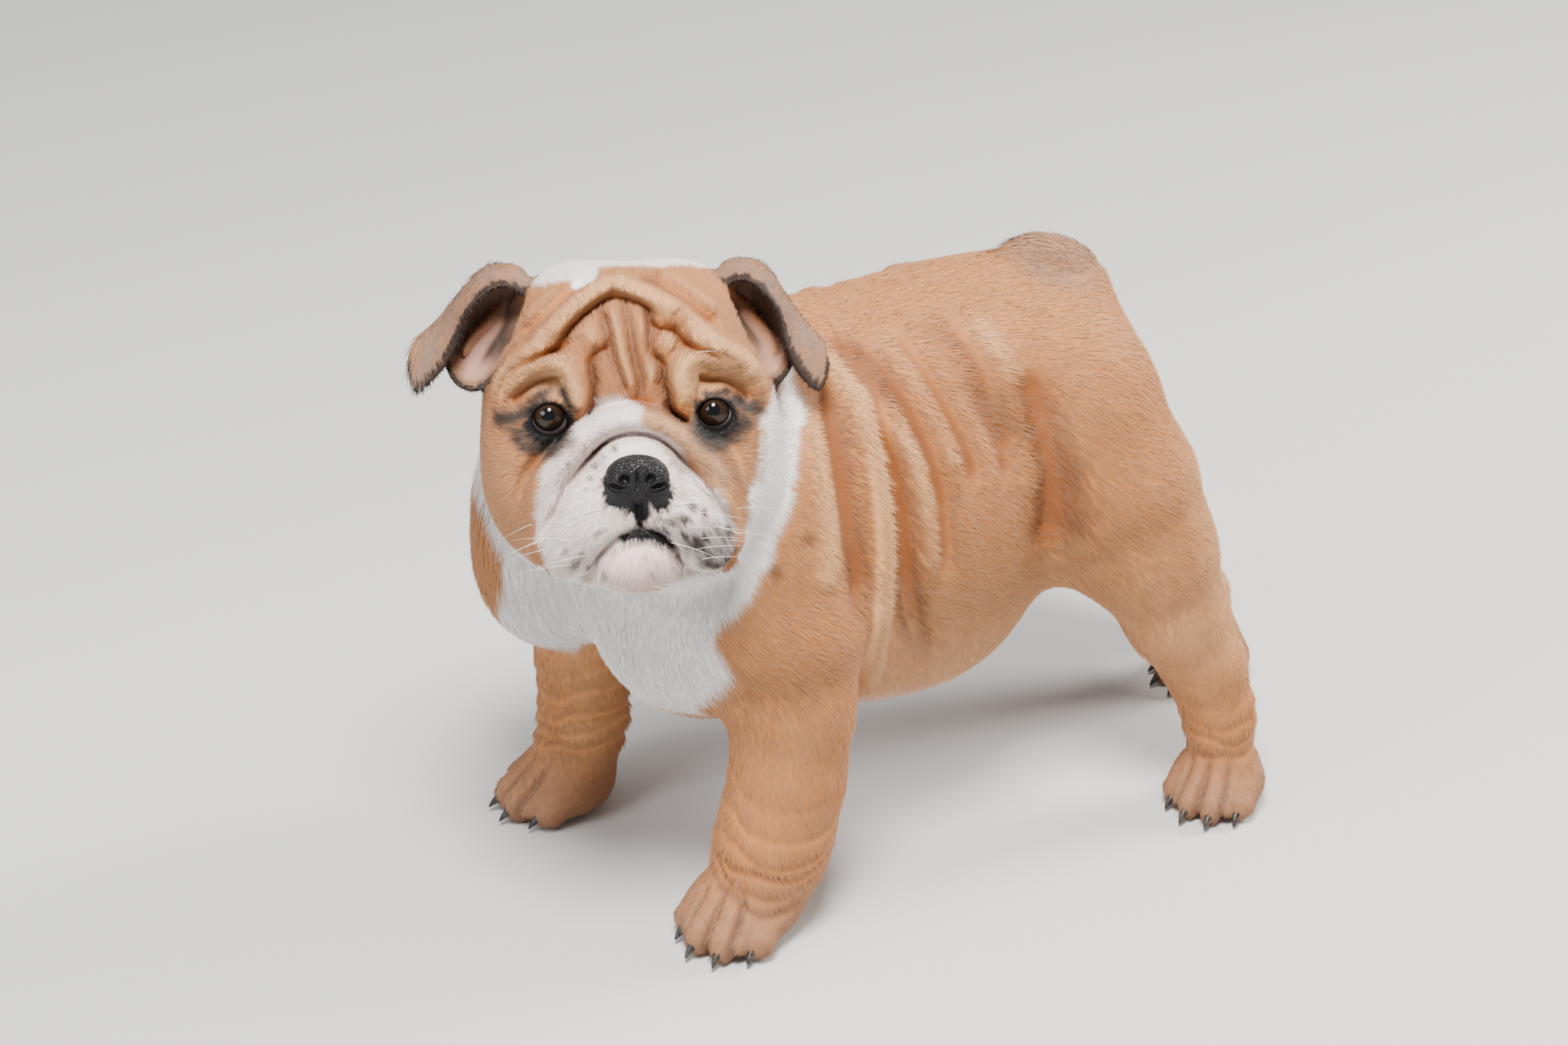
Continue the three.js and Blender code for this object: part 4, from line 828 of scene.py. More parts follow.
def within(q, corners):
    """How far inside a closed outline points of a plane lie, negative outside"""
    corners = np.array(corners, float)
    best = np.full(len(q), 1e9)
    inside = np.zeros(len(q), bool)
    for a, b in zip(corners, np.roll(corners, -1, 0)):
        run = b - a
        t = np.clip(((q - a) @ run) / (run @ run), 0, 1)
        best = np.minimum(best, ((q - a - t[:, None] * run) ** 2).sum(-1))
        if a[1] != b[1]:
            level = a[0] + (q[:, 1] - a[1]) / run[1] * run[0]
            inside ^= ((a[1] > q[:, 1]) != (b[1] > q[:, 1])) & (q[:, 0] < level)
    return np.sqrt(best) * np.where(inside, 1, -1)


def edge(points, at):
    places, values = zip(*points)
    return np.interp(at, places, values)


def markings(p):
    """How far each part of the coat's pattern, and the shade and light painted on it, holds at each point,
    0 to 1
    """
    q = to_head(p)
    x, y, z = q.T
    flat = q[:, [0, 2]]
    coarse = cloud(p, 9)
    middling = cloud(p + 50, 4)
    fine = cloud(p - 50, 1.6)
    ragged = coarse * 1.6 + middling * 1.4 + fine * 0.8
    near_head = 1 - ramp(np.linalg.norm(q, axis=-1), 105, 118)
    on_ear, hollow, along, _ = ear_place(q)
    head_side = np.clip((x + 25) / 50, 0, 1)
    front = edge(COLLAR_FRONT_LEFT, z) * head_side + edge(COLLAR_FRONT_RIGHT, z) * (1 - head_side)
    body_side = ramp(p[:, 0], -40, 10)
    back = edge(COLLAR_BACK_LEFT, p[:, 2]) * body_side + edge(COLLAR_BACK_RIGHT, p[:, 2]) * (1 - body_side)
    behind_face = np.maximum(ramp(y - front + ragged, -2, 2), 1 - near_head)
    before_body = ramp(back - p[:, 1] + ragged, -2, 2) * ramp(p[:, 2] + ragged, 94, 104)
    before_body *= ramp(p[:, 0] - edge(BIB_RIGHT, p[:, 2]) + ragged, -2, 2)
    before_body *= ramp(edge(BIB_LEFT, p[:, 2]) - p[:, 0] + ragged, -2, 2)
    white = behind_face * before_body
    crown = ramp(y - edge(CROWN_EDGE, x) + ragged, -1.5, 2) * ramp(z, 50, 60)
    crown *= ramp(x, -51, -46) * (1 - ramp(x, 38, 46)) * near_head
    face = near_head * ramp(-y, 18, 30)
    muzzle = face * ramp(within(flat, MUZZLE_WHITE) + ragged * 0.8, -1.2, 1.5)
    white = np.maximum(np.maximum(white, crown), muzzle) * (1 - np.clip(on_ear * 2, 0, 1))

    mottle = ramp(middling + fine * 0.7, 0.05, 0.6)
    black = face * ramp(within(flat, NOSE_BLACK) + middling * 1.2 + fine, -0.6, 0.6)
    flew = ramp(within(flat, FLEW_BLACK) + coarse * 3 + middling * 3 + fine * 1.6, -1.5, 2)
    speckle = ramp(middling + fine * 0.8 + coarse * 0.5, -0.25, 0.3)
    black = np.maximum(black, face * flew * (0.45 + 0.5 * speckle))
    black = np.maximum(black, face * ramp(within(flat, LIP_BLACK) + fine * 0.5, -0.5, 0.7))
    for spot_x, spot_z, radius in MUZZLE_SPOTS:
        away = np.hypot(x - spot_x, z - spot_z) + fine * 0.6
        black = np.maximum(black, face * (1 - ramp(away, radius * 0.5, radius * 1.25)) * 0.85)
    for spot in FLANK_MOLES:
        away = np.linalg.norm(p - spot[:3], axis=-1) + fine * 0.5
        black = np.maximum(black, (1 - ramp(away, spot[3] * 0.4, spot[3] * 1.2)) * 0.6)
    lids = np.zeros(len(p))
    smudge = np.zeros(len(p))
    for side in SIDES:
        c, s = math.cos(math.radians(LID_TILT)), side * math.sin(math.radians(LID_TILT))
        u = ((x - side * 36.2) * c + (z - 9.9) * s) / LID_OPENING[0]
        v = ((z - 9.9) * c - (x - side * 36.2) * s) / LID_OPENING[2]
        reach = np.hypot(u, v) + np.minimum(v, 0) * 0.2 + fine * 0.05
        lids = np.maximum(lids, 1 - ramp(reach, 1.08, 1.42))
    for streak, width in EYE_SMUDGES:
        away = line_distance(flat, streak, 1)[0] + middling * 0.8 + fine
        smudge = np.maximum(smudge, 1 - ramp(away, width * 0.2, width * 1.6))
    black = np.maximum(black, face * np.maximum(lids, smudge * 0.82))

    pink = face * ramp(within(flat, CHIN_PINK) + ragged * 0.6, -2, 3) * (0.62 + 0.15 * coarse)
    pink = np.maximum(pink, face * muzzle * (0.33 + 0.12 * coarse + 0.08 * middling))
    belly = (1 - ramp(p[:, 2], 82, 104)) * (1 - ramp(np.abs(p[:, 0]), 42, 62)) * (1 - near_head)
    belly *= ramp(p[:, 1], -60, -30) * ramp(p[:, 2], 62, 74)
    pink = np.maximum(pink, belly * 0.5)
    cup = on_ear * hollow * (1 - ramp(along, 0.66, 0.84))
    left_ear = np.where(x[:, None] > 0, q, q * (-1, 1, 1) + (-4, 0, 3))
    ridge_away = np.full(len(p), 1e9)
    for a, b in zip(EAR_RIDGE, EAR_RIDGE[1:]):
        a, b = np.array(a[:3], float), np.array(b[:3], float)
        t = np.clip((left_ear - a) @ (b - a) / ((b - a) @ (b - a)), 0, 1)[:, None]
        ridge_away = np.minimum(ridge_away, np.linalg.norm(left_ear - a - t * (b - a), axis=-1))
    on_ridge = 1 - ramp(ridge_away, 2.5, 6)
    lobe = 1 - ramp(np.linalg.norm(left_ear - (63, 8, 27), axis=-1) + fine, 6, 13)
    haired = (1 - ramp(left_ear[:, 0] + fine * 2, 51, 58)) * (1 - on_ridge)
    pink = np.maximum(pink, cup * (0.10 + 0.26 * np.maximum(on_ridge, lobe)) * (1 - haired * 0.8))
    margin = on_ear * ramp(along, 0.93, 1.0)
    # Painted shadow: black deep in the ear's cup round the ear hole, less on its ridge
    depth = 1 - ramp(np.linalg.norm((left_ear - (56, 14, 43)) / (1, 1, 1.5), axis=-1) + fine, 4, 16)
    black = np.maximum(black, np.maximum(margin * 0.9, cup * depth * (1 - on_ridge * 0.8) * 0.85))

    shade = on_ear * (1 - hollow) * (0.75 + 0.25 * middling)
    shade = np.maximum(shade, on_ear * hollow * ramp(along, 0.62, 0.8) * 0.8)
    # Grey-brown in the ear's cup, partly the hair's own and partly painted shade of the hollow, less on the
    # ridge and lobe
    shade = np.maximum(shade, cup * (0.82 - 0.30 * np.maximum(on_ridge, lobe)))
    shade = np.maximum(shade, face * smudge * 0.9)
    shade = np.maximum(shade, face * ramp(within(flat, TAN_ROLL) + ragged, -2, 3) * 0.4)
    freckle = muzzle * ramp(x + coarse * 8, 2, 16) * ramp(-z, 12, 22) * mottle
    shade = np.maximum(shade, freckle * 0.6)
    by_nose = 1 - ramp(np.hypot(x - 1, z + 14) + coarse * 3, 18, 25)
    shade = np.maximum(shade, muzzle * by_nose * ramp(middling + fine, -0.1, 0.5) * 0.5)
    tail = ramp(p[:, 2], 262, 276) * ramp(p[:, 1], 66, 84) * (1 - ramp(np.abs(p[:, 0]), 20, 30))
    shade = np.maximum(shade, tail * 0.55)
    foot = 1 - ramp(p[:, 2], 12, 50)
    shade = np.maximum(shade, foot * 0.5)

    rise = body_rise(p) + near_head * face_rise(q)
    height = p[:, 2]
    low = (1 - ramp(height, 95, 185)) * ramp(height, 70, 100) * ramp(p[:, 1], -70, -20)
    inner = (1 - ramp(height, 90, 130)) * (1 - ramp(np.abs(p[:, 0]), 40, 66)) * (1 - foot)
    buttock = ramp(p[:, 1], 108, 140) * ramp(height, 60, 110) * (1 - ramp(height, 190, 240))
    pale = np.maximum(np.maximum(low * 0.35, inner * 0.5), buttock * 0.35)
    cheek = face * ramp(np.abs(x), 40, 50) * (1 - ramp(z, -8, 8))
    brow = face * ramp(z, 17, 24) * (1 - ramp(z, 30, 42)) * ramp(np.abs(x), 20, 28)
    pale = np.maximum(pale, np.maximum(cheek * 0.15, brow * 0.5))
    # Painted light: paler where the folds rise, on their ridges; the rest of this mask is the coat's own
    # paler fawn
    pale = np.clip(np.maximum(pale, ramp(rise, 0.3, 2.6) * 0.72) + coarse * 0.08, 0, 1)
    # Painted shade: deeper tan in the creases of the folds, in the furrow between the brows and over the
    # face above the eyes
    between = face * (1 - ramp(np.hypot((x + 1) / 1.1, (z - 25) / 1.3), 6, 20)) * 0.5
    crease = np.clip(ramp(-rise, 0.1, 2.3) + face * (1 - pale) * ramp(z, 14, 30) * 0.2 + between, 0, 1)
    return {
        "white": white, "black": np.clip(black, 0, 1), "pink": np.clip(pink, 0, 1),
        "shade": np.clip(shade, 0, 1), "pale": pale, "crease": crease,
    }


# Skin: its finish
# Pink skin under hair of one colour at each place. The markings give the colours of skin and
# coat alike, so that the skin does not show up where the coat is thin.
class Socket:
    """A shader value that Python's own arithmetic can be written with"""

    def __init__(self, finish, output):
        self.finish = finish
        self.output = output

    def maths(self, operation, first, second):
        return self.finish.add("ShaderNodeMath", {"operation": operation}, {0: first, 1: second})

    def __add__(self, other):
        return self.maths("ADD", self, other)

    def __radd__(self, other):
        return self.maths("ADD", other, self)

    def __mul__(self, other):
        return self.maths("MULTIPLY", self, other)

    def __rmul__(self, other):
        return self.maths("MULTIPLY", other, self)


class Finish:
    """One material, whose nodes are added as its colour is worked out"""

    def __init__(self, name):
        self.material = bpy.data.materials.new(name)
        self.material.use_nodes = True
        self.tree = self.material.node_tree
        self.tree.nodes.clear()

    def add(self, kind, settings=None, inputs=None, output=0):
        node = self.tree.nodes.new(kind)
        for name, value in (settings or {}).items():
            if name == "stops":
                ends = node.color_ramp.elements
                while len(ends) < len(value):
                    ends.new(1)
                for stop, (place, colour) in zip(ends, value):
                    stop.position = place
                    stop.color = colour
            else:
                setattr(node, name, value)
        for key, value in (inputs or {}).items():
            if isinstance(value, Socket):
                self.tree.links.new(value.output, node.inputs[key])
            else:
                node.inputs[key].default_value = value
        return Socket(self, node.outputs[output]) if len(node.outputs) else None

    def attribute(self, name):
        return self.add("ShaderNodeAttribute", {"attribute_name": name}, output="Fac")

    def mix(self, first, second, share):
        first, second = (c if isinstance(c, Socket) else (*c, 1) for c in (first, second))
        return self.add("ShaderNodeMix", {"data_type": "RGBA"}, {0: share, 6: first, 7: second}, 2)

    def noise(self, scale, detail=2, roughness=0.5):
        place = self.add("ShaderNodeTexCoord", output="Object")
        return self.add("ShaderNodeTexNoise", {}, {
            "Vector": place, "Scale": scale, "Detail": detail, "Roughness": roughness,
        })

    def clamp(self, value, low, high):
        return self.add("ShaderNodeMapRange", {"interpolation_type": "SMOOTHSTEP"}, {
            "Value": value, "From Min": low, "From Max": high,
        })

    def surface(self, **inputs):
        named = {name.replace("_", " "): value for name, value in inputs.items()}
        shader = self.add("ShaderNodeBsdfPrincipled", {}, named)
        self.add("ShaderNodeOutputMaterial", {}, {"Surface": shader})
        return self.material


TAN = (0.475, 0.182, 0.053)
TAN_DEEP = (0.20, 0.058, 0.015)
TAN_PALE = (0.68, 0.375, 0.17)
GREY_BROWN = (0.17, 0.115, 0.088)
WHITE = (0.90, 0.88, 0.87)
WHITE_SHADED = (0.76, 0.71, 0.68)
PINK = (0.70, 0.43, 0.38)
BLACK = (0.004, 0.0035, 0.0045)
HAIR_TIP = (0.95, 0.85, 0.74)


def coat_colour(finish, variety, tip=None):
    """The colour of skin and coat alike, with painted shade and light, from the markings and a value that
    varies it
    """
    tan = finish.mix(TAN, TAN_DEEP, variety * 0.3)
    # Painted shade: deeper tan in the creases, between the brows and above the eyes
    tan = finish.mix(tan, TAN_DEEP, finish.attribute("crease") * 0.85)
    # Paler tan: the coat's own on lower flank, inner legs, buttocks, cheeks and brows, and painted light on
    # the ridges of the folds
    tan = finish.mix(tan, TAN_PALE, finish.attribute("pale"))
    # Grey-brown: the coat's own on ears, muzzle, tail and feet, and painted shade in the ear's cup
    tan = finish.mix(tan, GREY_BROWN, finish.attribute("shade"))
    white = finish.mix(WHITE, WHITE_SHADED, variety)
    white = finish.mix(white, GREY_BROWN, finish.attribute("shade") * 0.9)
    colour = finish.mix(tan, white, finish.attribute("white"))
    colour = finish.mix(colour, PINK, finish.attribute("pink"))
    if tip:
        colour = finish.mix(colour, HAIR_TIP, tip)
    return finish.mix(colour, BLACK, finish.attribute("black"))


skin_marks = markings(skin_points)
for name, values in skin_marks.items():
    store(skin.data, name, values)
skin_finish = Finish("skin")
skin_grain = skin_finish.noise(900, 3, 0.6)
skin_bump = skin_finish.add("ShaderNodeBump", {}, {
    "Strength": 0.35, "Distance": 0.0006, "Height": skin_grain,
})
skin.data.materials.append(skin_finish.surface(
    Base_Color=coat_colour(skin_finish, skin_finish.noise(260, 3)),
    Roughness=skin_finish.clamp(skin_grain, 0.2, 0.9) * 0.25 + 0.5,
    Normal=skin_bump,
    Specular_IOR_Level=0.25,
))
FLESH_NODES = [
    "head", "lower_jaw", "neck", "chest", "belly", "rump", "tail", "ear_left", "ear_right",
    "front_leg_left", "front_leg_right", "hind_leg_left", "hind_leg_right",
    "front_paw_left", "front_paw_right", "hind_paw_left", "hind_paw_right",
]
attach(skin, "root")
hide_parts(*FLESH_NODES)


# Coat: where it grows and how it lies
# Short straight smooth hair in small flat tufts, which lie from the nose back over the head, from
# the neck to the tail, and down the chest and legs. It is shortest on muzzle, ears and feet.
TUFTS_HEAD = 160_000
TUFTS_BODY = 195_000
NOSE_TIP = np.array([1, -66, -12])
EYE_SPOTS = from_head(np.array([(side * EYE_X, EYE_Y, EYE_Z) for side in SIDES]))
# Bare places: round each eye, round the nose leather, and under the soles
EYE_BARE = 10.9
NOSE_BARE = np.array([15, 14, 13])
SOLE_BARE = 1.5
# How much denser the hair grows on the face than over the rest of the head
FACE_DENSER = 1.6


def coat_fields(p):
    """The way the hair lies at each point and its length"""
    q = to_head(p)
    on_ear, hollow, _, ear_lie = ear_place(q)
    away = q - NOSE_TIP
    on_head = away / np.linalg.norm(away, axis=-1, keepdims=True)
    on_head[:, 2] -= ramp(-q[:, 2], -5, 30) * 0.5
    ear_lie /= np.linalg.norm(ear_lie, axis=-1, keepdims=True) + 1e-9
    share = np.clip(on_ear * 1.5, 0, 1)[:, None]
    on_head = (on_head * (1 - share) + ear_lie * share) @ HEAD_AXES.T
    x, y, z = p.T
    leg = 1 - ramp(z, 95, 150)
    foot = 1 - ramp(z, 16, 34)
    breast = (1 - ramp(y, -150, -115)) * (1 - leg)
    flank = ramp(np.abs(x), 30, 70)
    on_body = np.stack([
        0.12 * np.sign(x) * flank,
        0.25 + 0.75 * (1 - leg) * (1 - breast) - 1.1 * foot,
        -0.15 - 0.5 * flank - 1.2 * leg - 1.2 * breast + 0.7 * foot,
    ], -1)
    tail = ramp(z, 266, 276) * ramp(y, 62, 78) * (1 - ramp(np.abs(x), 16, 24))
    on_body = on_body * (1 - tail[:, None]) + np.array([0, -0.6, 0.35]) * tail[:, None]
    near = (1 - ramp(np.linalg.norm(q, axis=-1), 88, 108))[:, None]
    way = on_body * (1 - near) + on_head * near
    snout = 1 - ramp(np.linalg.norm(away, axis=-1), 14, 60)
    body_length = 7.5 + 3 * breast - 1.5 * leg - 2.0 * foot
    head_length = 4.8 - 2.3 * snout - share[:, 0] * (2.3 + 0.3 * hollow)
    for spot in EYE_SPOTS:
        from_eye = p - spot
        reach = np.linalg.norm(from_eye, axis=-1)
        by_eye = 1 - ramp(reach, 11, 19)
        way += from_eye / reach[:, None] * (by_eye * 1.5)[:, None]
        head_length *= 1 - by_eye * 0.55
    length = body_length * (1 - near[:, 0]) + head_length * near[:, 0]
    return way, length, near[:, 0], share[:, 0]


chance = np.random.default_rng(29)
skin_corners = np.empty(len(thinned.loop_triangles) * 3, np.int32)
thinned.loop_triangles.foreach_get("vertices", skin_corners)
skin_corners = skin_corners.reshape(-1, 3)
corner_a, corner_b, corner_c = skin_points[skin_corners].transpose(1, 0, 2)
crossed = np.cross(corner_b - corner_a, corner_c - corner_a)
areas = np.linalg.norm(crossed, axis=-1) / 2
upward = crossed / (2 * areas[:, None] + 1e-9)
middles = (corner_a + corner_b + corner_c) / 3
head_share = 1 - ramp(np.linalg.norm(to_head(middles), axis=-1), 88, 108)
bare = np.zeros(len(middles), bool)
for spot in EYE_SPOTS:
    bare |= np.linalg.norm(middles - spot, axis=-1) < EYE_BARE
bare |= np.linalg.norm((to_head(middles) - (1, -61, -15)) / NOSE_BARE, axis=-1) < 1
bare |= middles[:, 2] < SOLE_BARE
weights = np.where(bare, 0, areas)
face_ahead = ramp(-to_head(middles)[:, 1], -10, 20)
head_weight = weights * head_share * (1 + FACE_DENSER * face_ahead)
body_weight = weights * (1 - head_share)
chosen = np.concatenate([
    chance.choice(len(areas), count, p=weight / weight.sum())
    for count, weight in ((TUFTS_HEAD, head_weight), (TUFTS_BODY, body_weight))
])
u, v = chance.random((2, len(chosen), 1))
folded = u + v > 1
u, v = np.where(folded, 1 - u, u), np.where(folded, 1 - v, v)
roots = corner_a[chosen] * (1 - u - v) + corner_b[chosen] * u + corner_c[chosen] * v
normals = np.empty(len(thinned.vertices) * 3, np.float32)
thinned.vertices.foreach_get("normal", normals)
normals = normals.reshape(-1, 3)[skin_corners[chosen]]
root_up = normals[:, 0] * (1 - u - v) + normals[:, 1] * u + normals[:, 2] * v
root_up /= np.linalg.norm(root_up, axis=-1, keepdims=True) + 1e-9
root_marks = {
    name: (np.stack([values[skin_corners[chosen, i]] for i in range(3)], -1)
           * np.hstack([1 - u - v, u, v])).sum(-1)
    for name, values in skin_marks.items()
}


# Coat: the tufts
# Each is a flat pointed lick of a few hairs, a closed solid of four faces, with its root in the
# skin. They are parted into pieces by the part of the body they grow on.
LIFT_BODY = math.radians(6.5)
LIFT_HEAD = math.radians(9.5)
WIDTH_BODY = 0.46
WIDTH_HEAD = 0.30
STRAY = 0.11
ROOT_DEPTH = 0.25
FLOOR_GAP = 0.15
# Light falls on each lick much as on the skin beneath it, turned a little by chance
TURN_BODY = 0.10
TURN_HEAD = 0.26
# The size of a lick's own patch on the unwrap
PATCH = 0.003
way, length, near_head, on_ear = coat_fields(roots)
length = length * (0.75 + 0.5 * chance.random(len(roots)))
way = way - root_up * (way * root_up).sum(-1, keepdims=True)
way /= np.linalg.norm(way, axis=-1, keepdims=True) + 1e-9
across = np.cross(root_up, way)
stray = chance.normal(0, STRAY, (len(roots), 1))
way = way * np.cos(stray) + across * np.sin(stray)
across = np.cross(root_up, way)
lift = (LIFT_BODY + (LIFT_HEAD - LIFT_BODY) * near_head) * (1 - on_ear * 0.45)
lift = lift * (0.5 + chance.random(len(roots)))
width = WIDTH_BODY + (WIDTH_HEAD - WIDTH_BODY) * near_head
height = width * 0.35
rising = (length * np.sin(lift))[:, None]
tips = roots + way * (length * np.cos(lift))[:, None] + root_up * rising
starts = roots - root_up * ROOT_DEPTH
turned = chance.normal(0, 1, len(roots)) * (TURN_BODY + (TURN_HEAD - TURN_BODY) * near_head)
lit_up = root_up + across * turned[:, None]
lit_up /= np.linalg.norm(lit_up, axis=-1, keepdims=True)
tuft_points = np.stack([
    starts - across * width[:, None] / 2,
    starts + across * width[:, None] / 2,
    starts + (tips - starts) * 0.45 + root_up * height[:, None],
    tips,
], 1)
tuft_points[..., 2] = np.maximum(tuft_points[..., 2], FLOOR_GAP)
TUFT_FACES = np.array([(0, 2, 1), (0, 3, 2), (1, 2, 3), (0, 1, 3)])
TUFT_SPOTS = np.array([(-0.5, 0), (0.5, 0), (0, 0.45), (0, 1)])


def box_unwrap(points, directions):
    """Places on six charts, one for each way that the skin faces, side by side in the unit square"""
    low = points.min(0)
    span = float((points.max(0) - low).max())
    axis = np.abs(directions).argmax(-1)
    front = np.take_along_axis(directions, axis[:, None], 1)[:, 0] > 0
    flat = (points - low) / span
    two = np.stack([
        np.choose(axis, [flat[:, 1], flat[:, 0], flat[:, 0]]),
        np.choose(axis, [flat[:, 2], flat[:, 2], flat[:, 1]]),
    ], -1)
    return (two * 0.96 + 0.02 + np.stack([axis, front], -1)) * (1 / 3, 1 / 2)


coat_finish = Finish("coat")
hair_lot = coat_finish.attribute("lot")
hair_tip = coat_finish.attribute("tip")
coat_material = coat_finish.surface(
    Base_Color=coat_colour(coat_finish, hair_lot * 1.1, hair_tip * hair_lot * 0.22),
    Roughness=hair_lot * 0.2 + 0.5,
    Specular_IOR_Level=0.22,
)
head_spot = to_head(roots)
ear_here = np.maximum.reduce([
    1.0 * (np.linalg.norm(head_spot - EAR_CENTRES[side], axis=-1) < 36) for side in SIDES
]) * near_head
regions = np.select([
    (near_head > 0.5) & (ear_here > 0.5),
    (near_head > 0.5) & (head_spot[:, 0] < -21),
    (near_head > 0.5) & (head_spot[:, 0] < 20),
    near_head > 0.5,
    (roots[:, 2] < 105) & (roots[:, 1] < -20),
    roots[:, 2] < 105,
    (roots[:, 1] < -20) & (roots[:, 0] > 0),
    roots[:, 1] < -20,
    roots[:, 0] > 0,
], range(9), 9)
REGION_NAMES = [
    "coat_ears", "coat_face_right", "coat_face_middle", "coat_face_left", "coat_front_legs",
    "coat_hind_legs", "coat_chest_left", "coat_chest_right", "coat_back_left", "coat_back_right",
]
for region, name in enumerate(REGION_NAMES):
    mine = np.nonzero(regions == region)[0]
    count = len(mine)
    mesh = bpy.data.meshes.new(name)
    mesh.vertices.add(count * 4)
    mesh.vertices.foreach_set("co", ((tuft_points[mine].reshape(-1, 3) - MIDDLE) / 1000).ravel())
    corners = (TUFT_FACES[None] + np.arange(count)[:, None, None] * 4).reshape(-1)
    mesh.loops.add(len(corners))
    mesh.loops.foreach_set("vertex_index", corners)
    mesh.polygons.add(count * 4)
    mesh.polygons.foreach_set("loop_start", np.arange(0, len(corners), 3))
    mesh.polygons.foreach_set("loop_total", np.full(count * 4, 3))
    mesh.update(calc_edges=True)
    mesh.normals_split_custom_set_from_vertices(np.repeat(lit_up[mine], 4, 0).tolist())
    places = box_unwrap(roots[mine], upward[chosen[mine]])
    spots = places[:, None] + TUFT_SPOTS * PATCH
    unwrap = mesh.uv_layers.new(name="OFBake")
    unwrap.data.foreach_set("uv", spots.reshape(-1, 2)[corners].ravel())
    for mark, values in root_marks.items():
        store(mesh, mark, np.repeat(values[mine], 4))
    store(mesh, "lot", np.repeat(chance.random(count), 4))
    store(mesh, "tip", np.tile([0, 0, 0.45, 1], count))
    mesh.materials.append(coat_material)
    piece = bpy.data.objects.new(name, mesh)
    bpy.context.scene.collection.objects.link(piece)
    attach(piece, "root")
    "white_coat" if "middle" in name else "ears" if "ears" in name else "tan_coat"


# Coat: whiskers
# Stiff white bristles on the flews and a few over the brows and cheeks, thin and tapering.
WHISKER_SIDES = 5
WHISKER_RINGS = 9
# Root rows in x, y, z of the head, for the left side: height above the lip and how far along
WHISKER_ROOTS = [
    (17, -66, -28), (22, -65, -31), (27, -62, -34), (32, -58, -37), (19, -65, -36), (25, -63, -40),
    (30, -59, -43), (35, -54, -42), (15, -65, -43), (22, -63, -47), (28, -60, -51), (38, -48, -34),
]
OTHER_BRISTLES = [
    (26, -50, 36), (29, -48, 37), (48, -34, -10), (50, -30, -18), (8, -55, -60), (3, -56, -62),
]
whisker_points = []
whisker_faces = []
for side in SIDES:
    for index, root in enumerate(WHISKER_ROOTS + OTHER_BRISTLES):
        bristle = index >= len(WHISKER_ROOTS)
        root = np.array(root, float) * (side, 1, 1) + chance.normal(0, 0.7, 3)
        spread = np.array([side * 0.8, -0.35 + 0.25 * chance.random(), -0.25 + 0.5 * chance.random()])
        spread /= np.linalg.norm(spread)
        reach = (10 if bristle else 24) * (0.75 + 0.5 * chance.random())
        for _ in range(4):
            root = drawn_onto(skull.at, root[None], 1)[0]
        first = sum(len(ring) for ring in whisker_points)
        for t in np.linspace(0, 1, WHISKER_RINGS):
            middle = root + spread * reach * t + np.array([0, 0.25, -0.18]) * reach * t * t
            around = np.arange(WHISKER_SIDES) * 2 * math.pi / WHISKER_SIDES
            radius = 0.16 * (1 - t) + 0.02
            ring = np.outer(np.cos(around), (0, 1, 0)) + np.outer(np.sin(around), (0, 0, 1))
            whisker_points.append(middle + ring * radius)
        for i in range(WHISKER_RINGS - 1):
            for j in range(WHISKER_SIDES):
                k = (j + 1) % WHISKER_SIDES
                low, high = first + i * WHISKER_SIDES, first + (i + 1) * WHISKER_SIDES
                whisker_faces.append((low + j, low + k, high + k, high + j))
        whisker_faces.append(tuple(first + j for j in reversed(range(WHISKER_SIDES))))
        last = first + (WHISKER_RINGS - 1) * WHISKER_SIDES
        whisker_faces.append(tuple(last + j for j in range(WHISKER_SIDES)))
whiskers = mesh_object("whiskers", from_head(np.vstack(whisker_points)), whisker_faces)
whisker_finish = Finish("whisker")
whisker_tone = whisker_finish.noise(120, 2)
whiskers.data.materials.append(whisker_finish.surface(
    Base_Color=whisker_finish.mix((0.62, 0.58, 0.54), (0.90, 0.88, 0.86), whisker_tone),
    Roughness=whisker_tone * 0.3 + 0.3,
))
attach(whiskers, "root")


# Eyes
# Large round dark eyes, set low and wide: a white globe with a brown iris under a wet cornea.
EYE_RADIUS = 9.45
CORNEA_RISE = 0.5
CORNEA_ANGLE = math.radians(44)
EYE_RINGS = 40
EYE_SIDES = 48
GAZE = np.array([-0.06, -0.98, 0.14])


def eye_points():
    angle = np.linspace(0, math.pi, EYE_RINGS + 1)[1:-1]
    rise = CORNEA_RISE * (1 - ramp(angle, 0, CORNEA_ANGLE))
    radius = EYE_RADIUS + rise
    around = np.arange(EYE_SIDES) * 2 * math.pi / EYE_SIDES
    ring = np.stack(np.broadcast_arrays(
        (radius * np.sin(angle))[:, None] * np.cos(around),
        (radius * np.sin(angle))[:, None] * np.sin(around),
        (radius * np.cos(angle))[:, None],
    ), -1).reshape(-1, 3)
    ends = [(0, 0, EYE_RADIUS + CORNEA_RISE), (0, 0, -EYE_RADIUS)]
    return np.vstack([ring, ends]), np.concatenate([np.repeat(angle, EYE_SIDES), [0, math.pi]])


def turned_grid_faces(rings, sides):
    """Faces of rings of points closed at both ends by a single point"""
    faces = []
    front, back = rings * sides, rings * sides + 1
    for j in range(sides):
        k = (j + 1) % sides
        faces.append((front, j, k))
        faces.append((back, (rings - 1) * sides + k, (rings - 1) * sides + j))
        for i in range(rings - 1):
            faces.append((i * sides + j, (i + 1) * sides + j, (i + 1) * sides + k, i * sides + k))
    return faces


def frame_along(direction):
    """Columns are two crossways axes and the direction itself"""
    z = np.array(direction, float)
    z /= np.linalg.norm(z)
    x = np.cross((0, 0, 1), z)
    x /= np.linalg.norm(x)
    return np.stack([x, np.cross(z, x), z], -1)


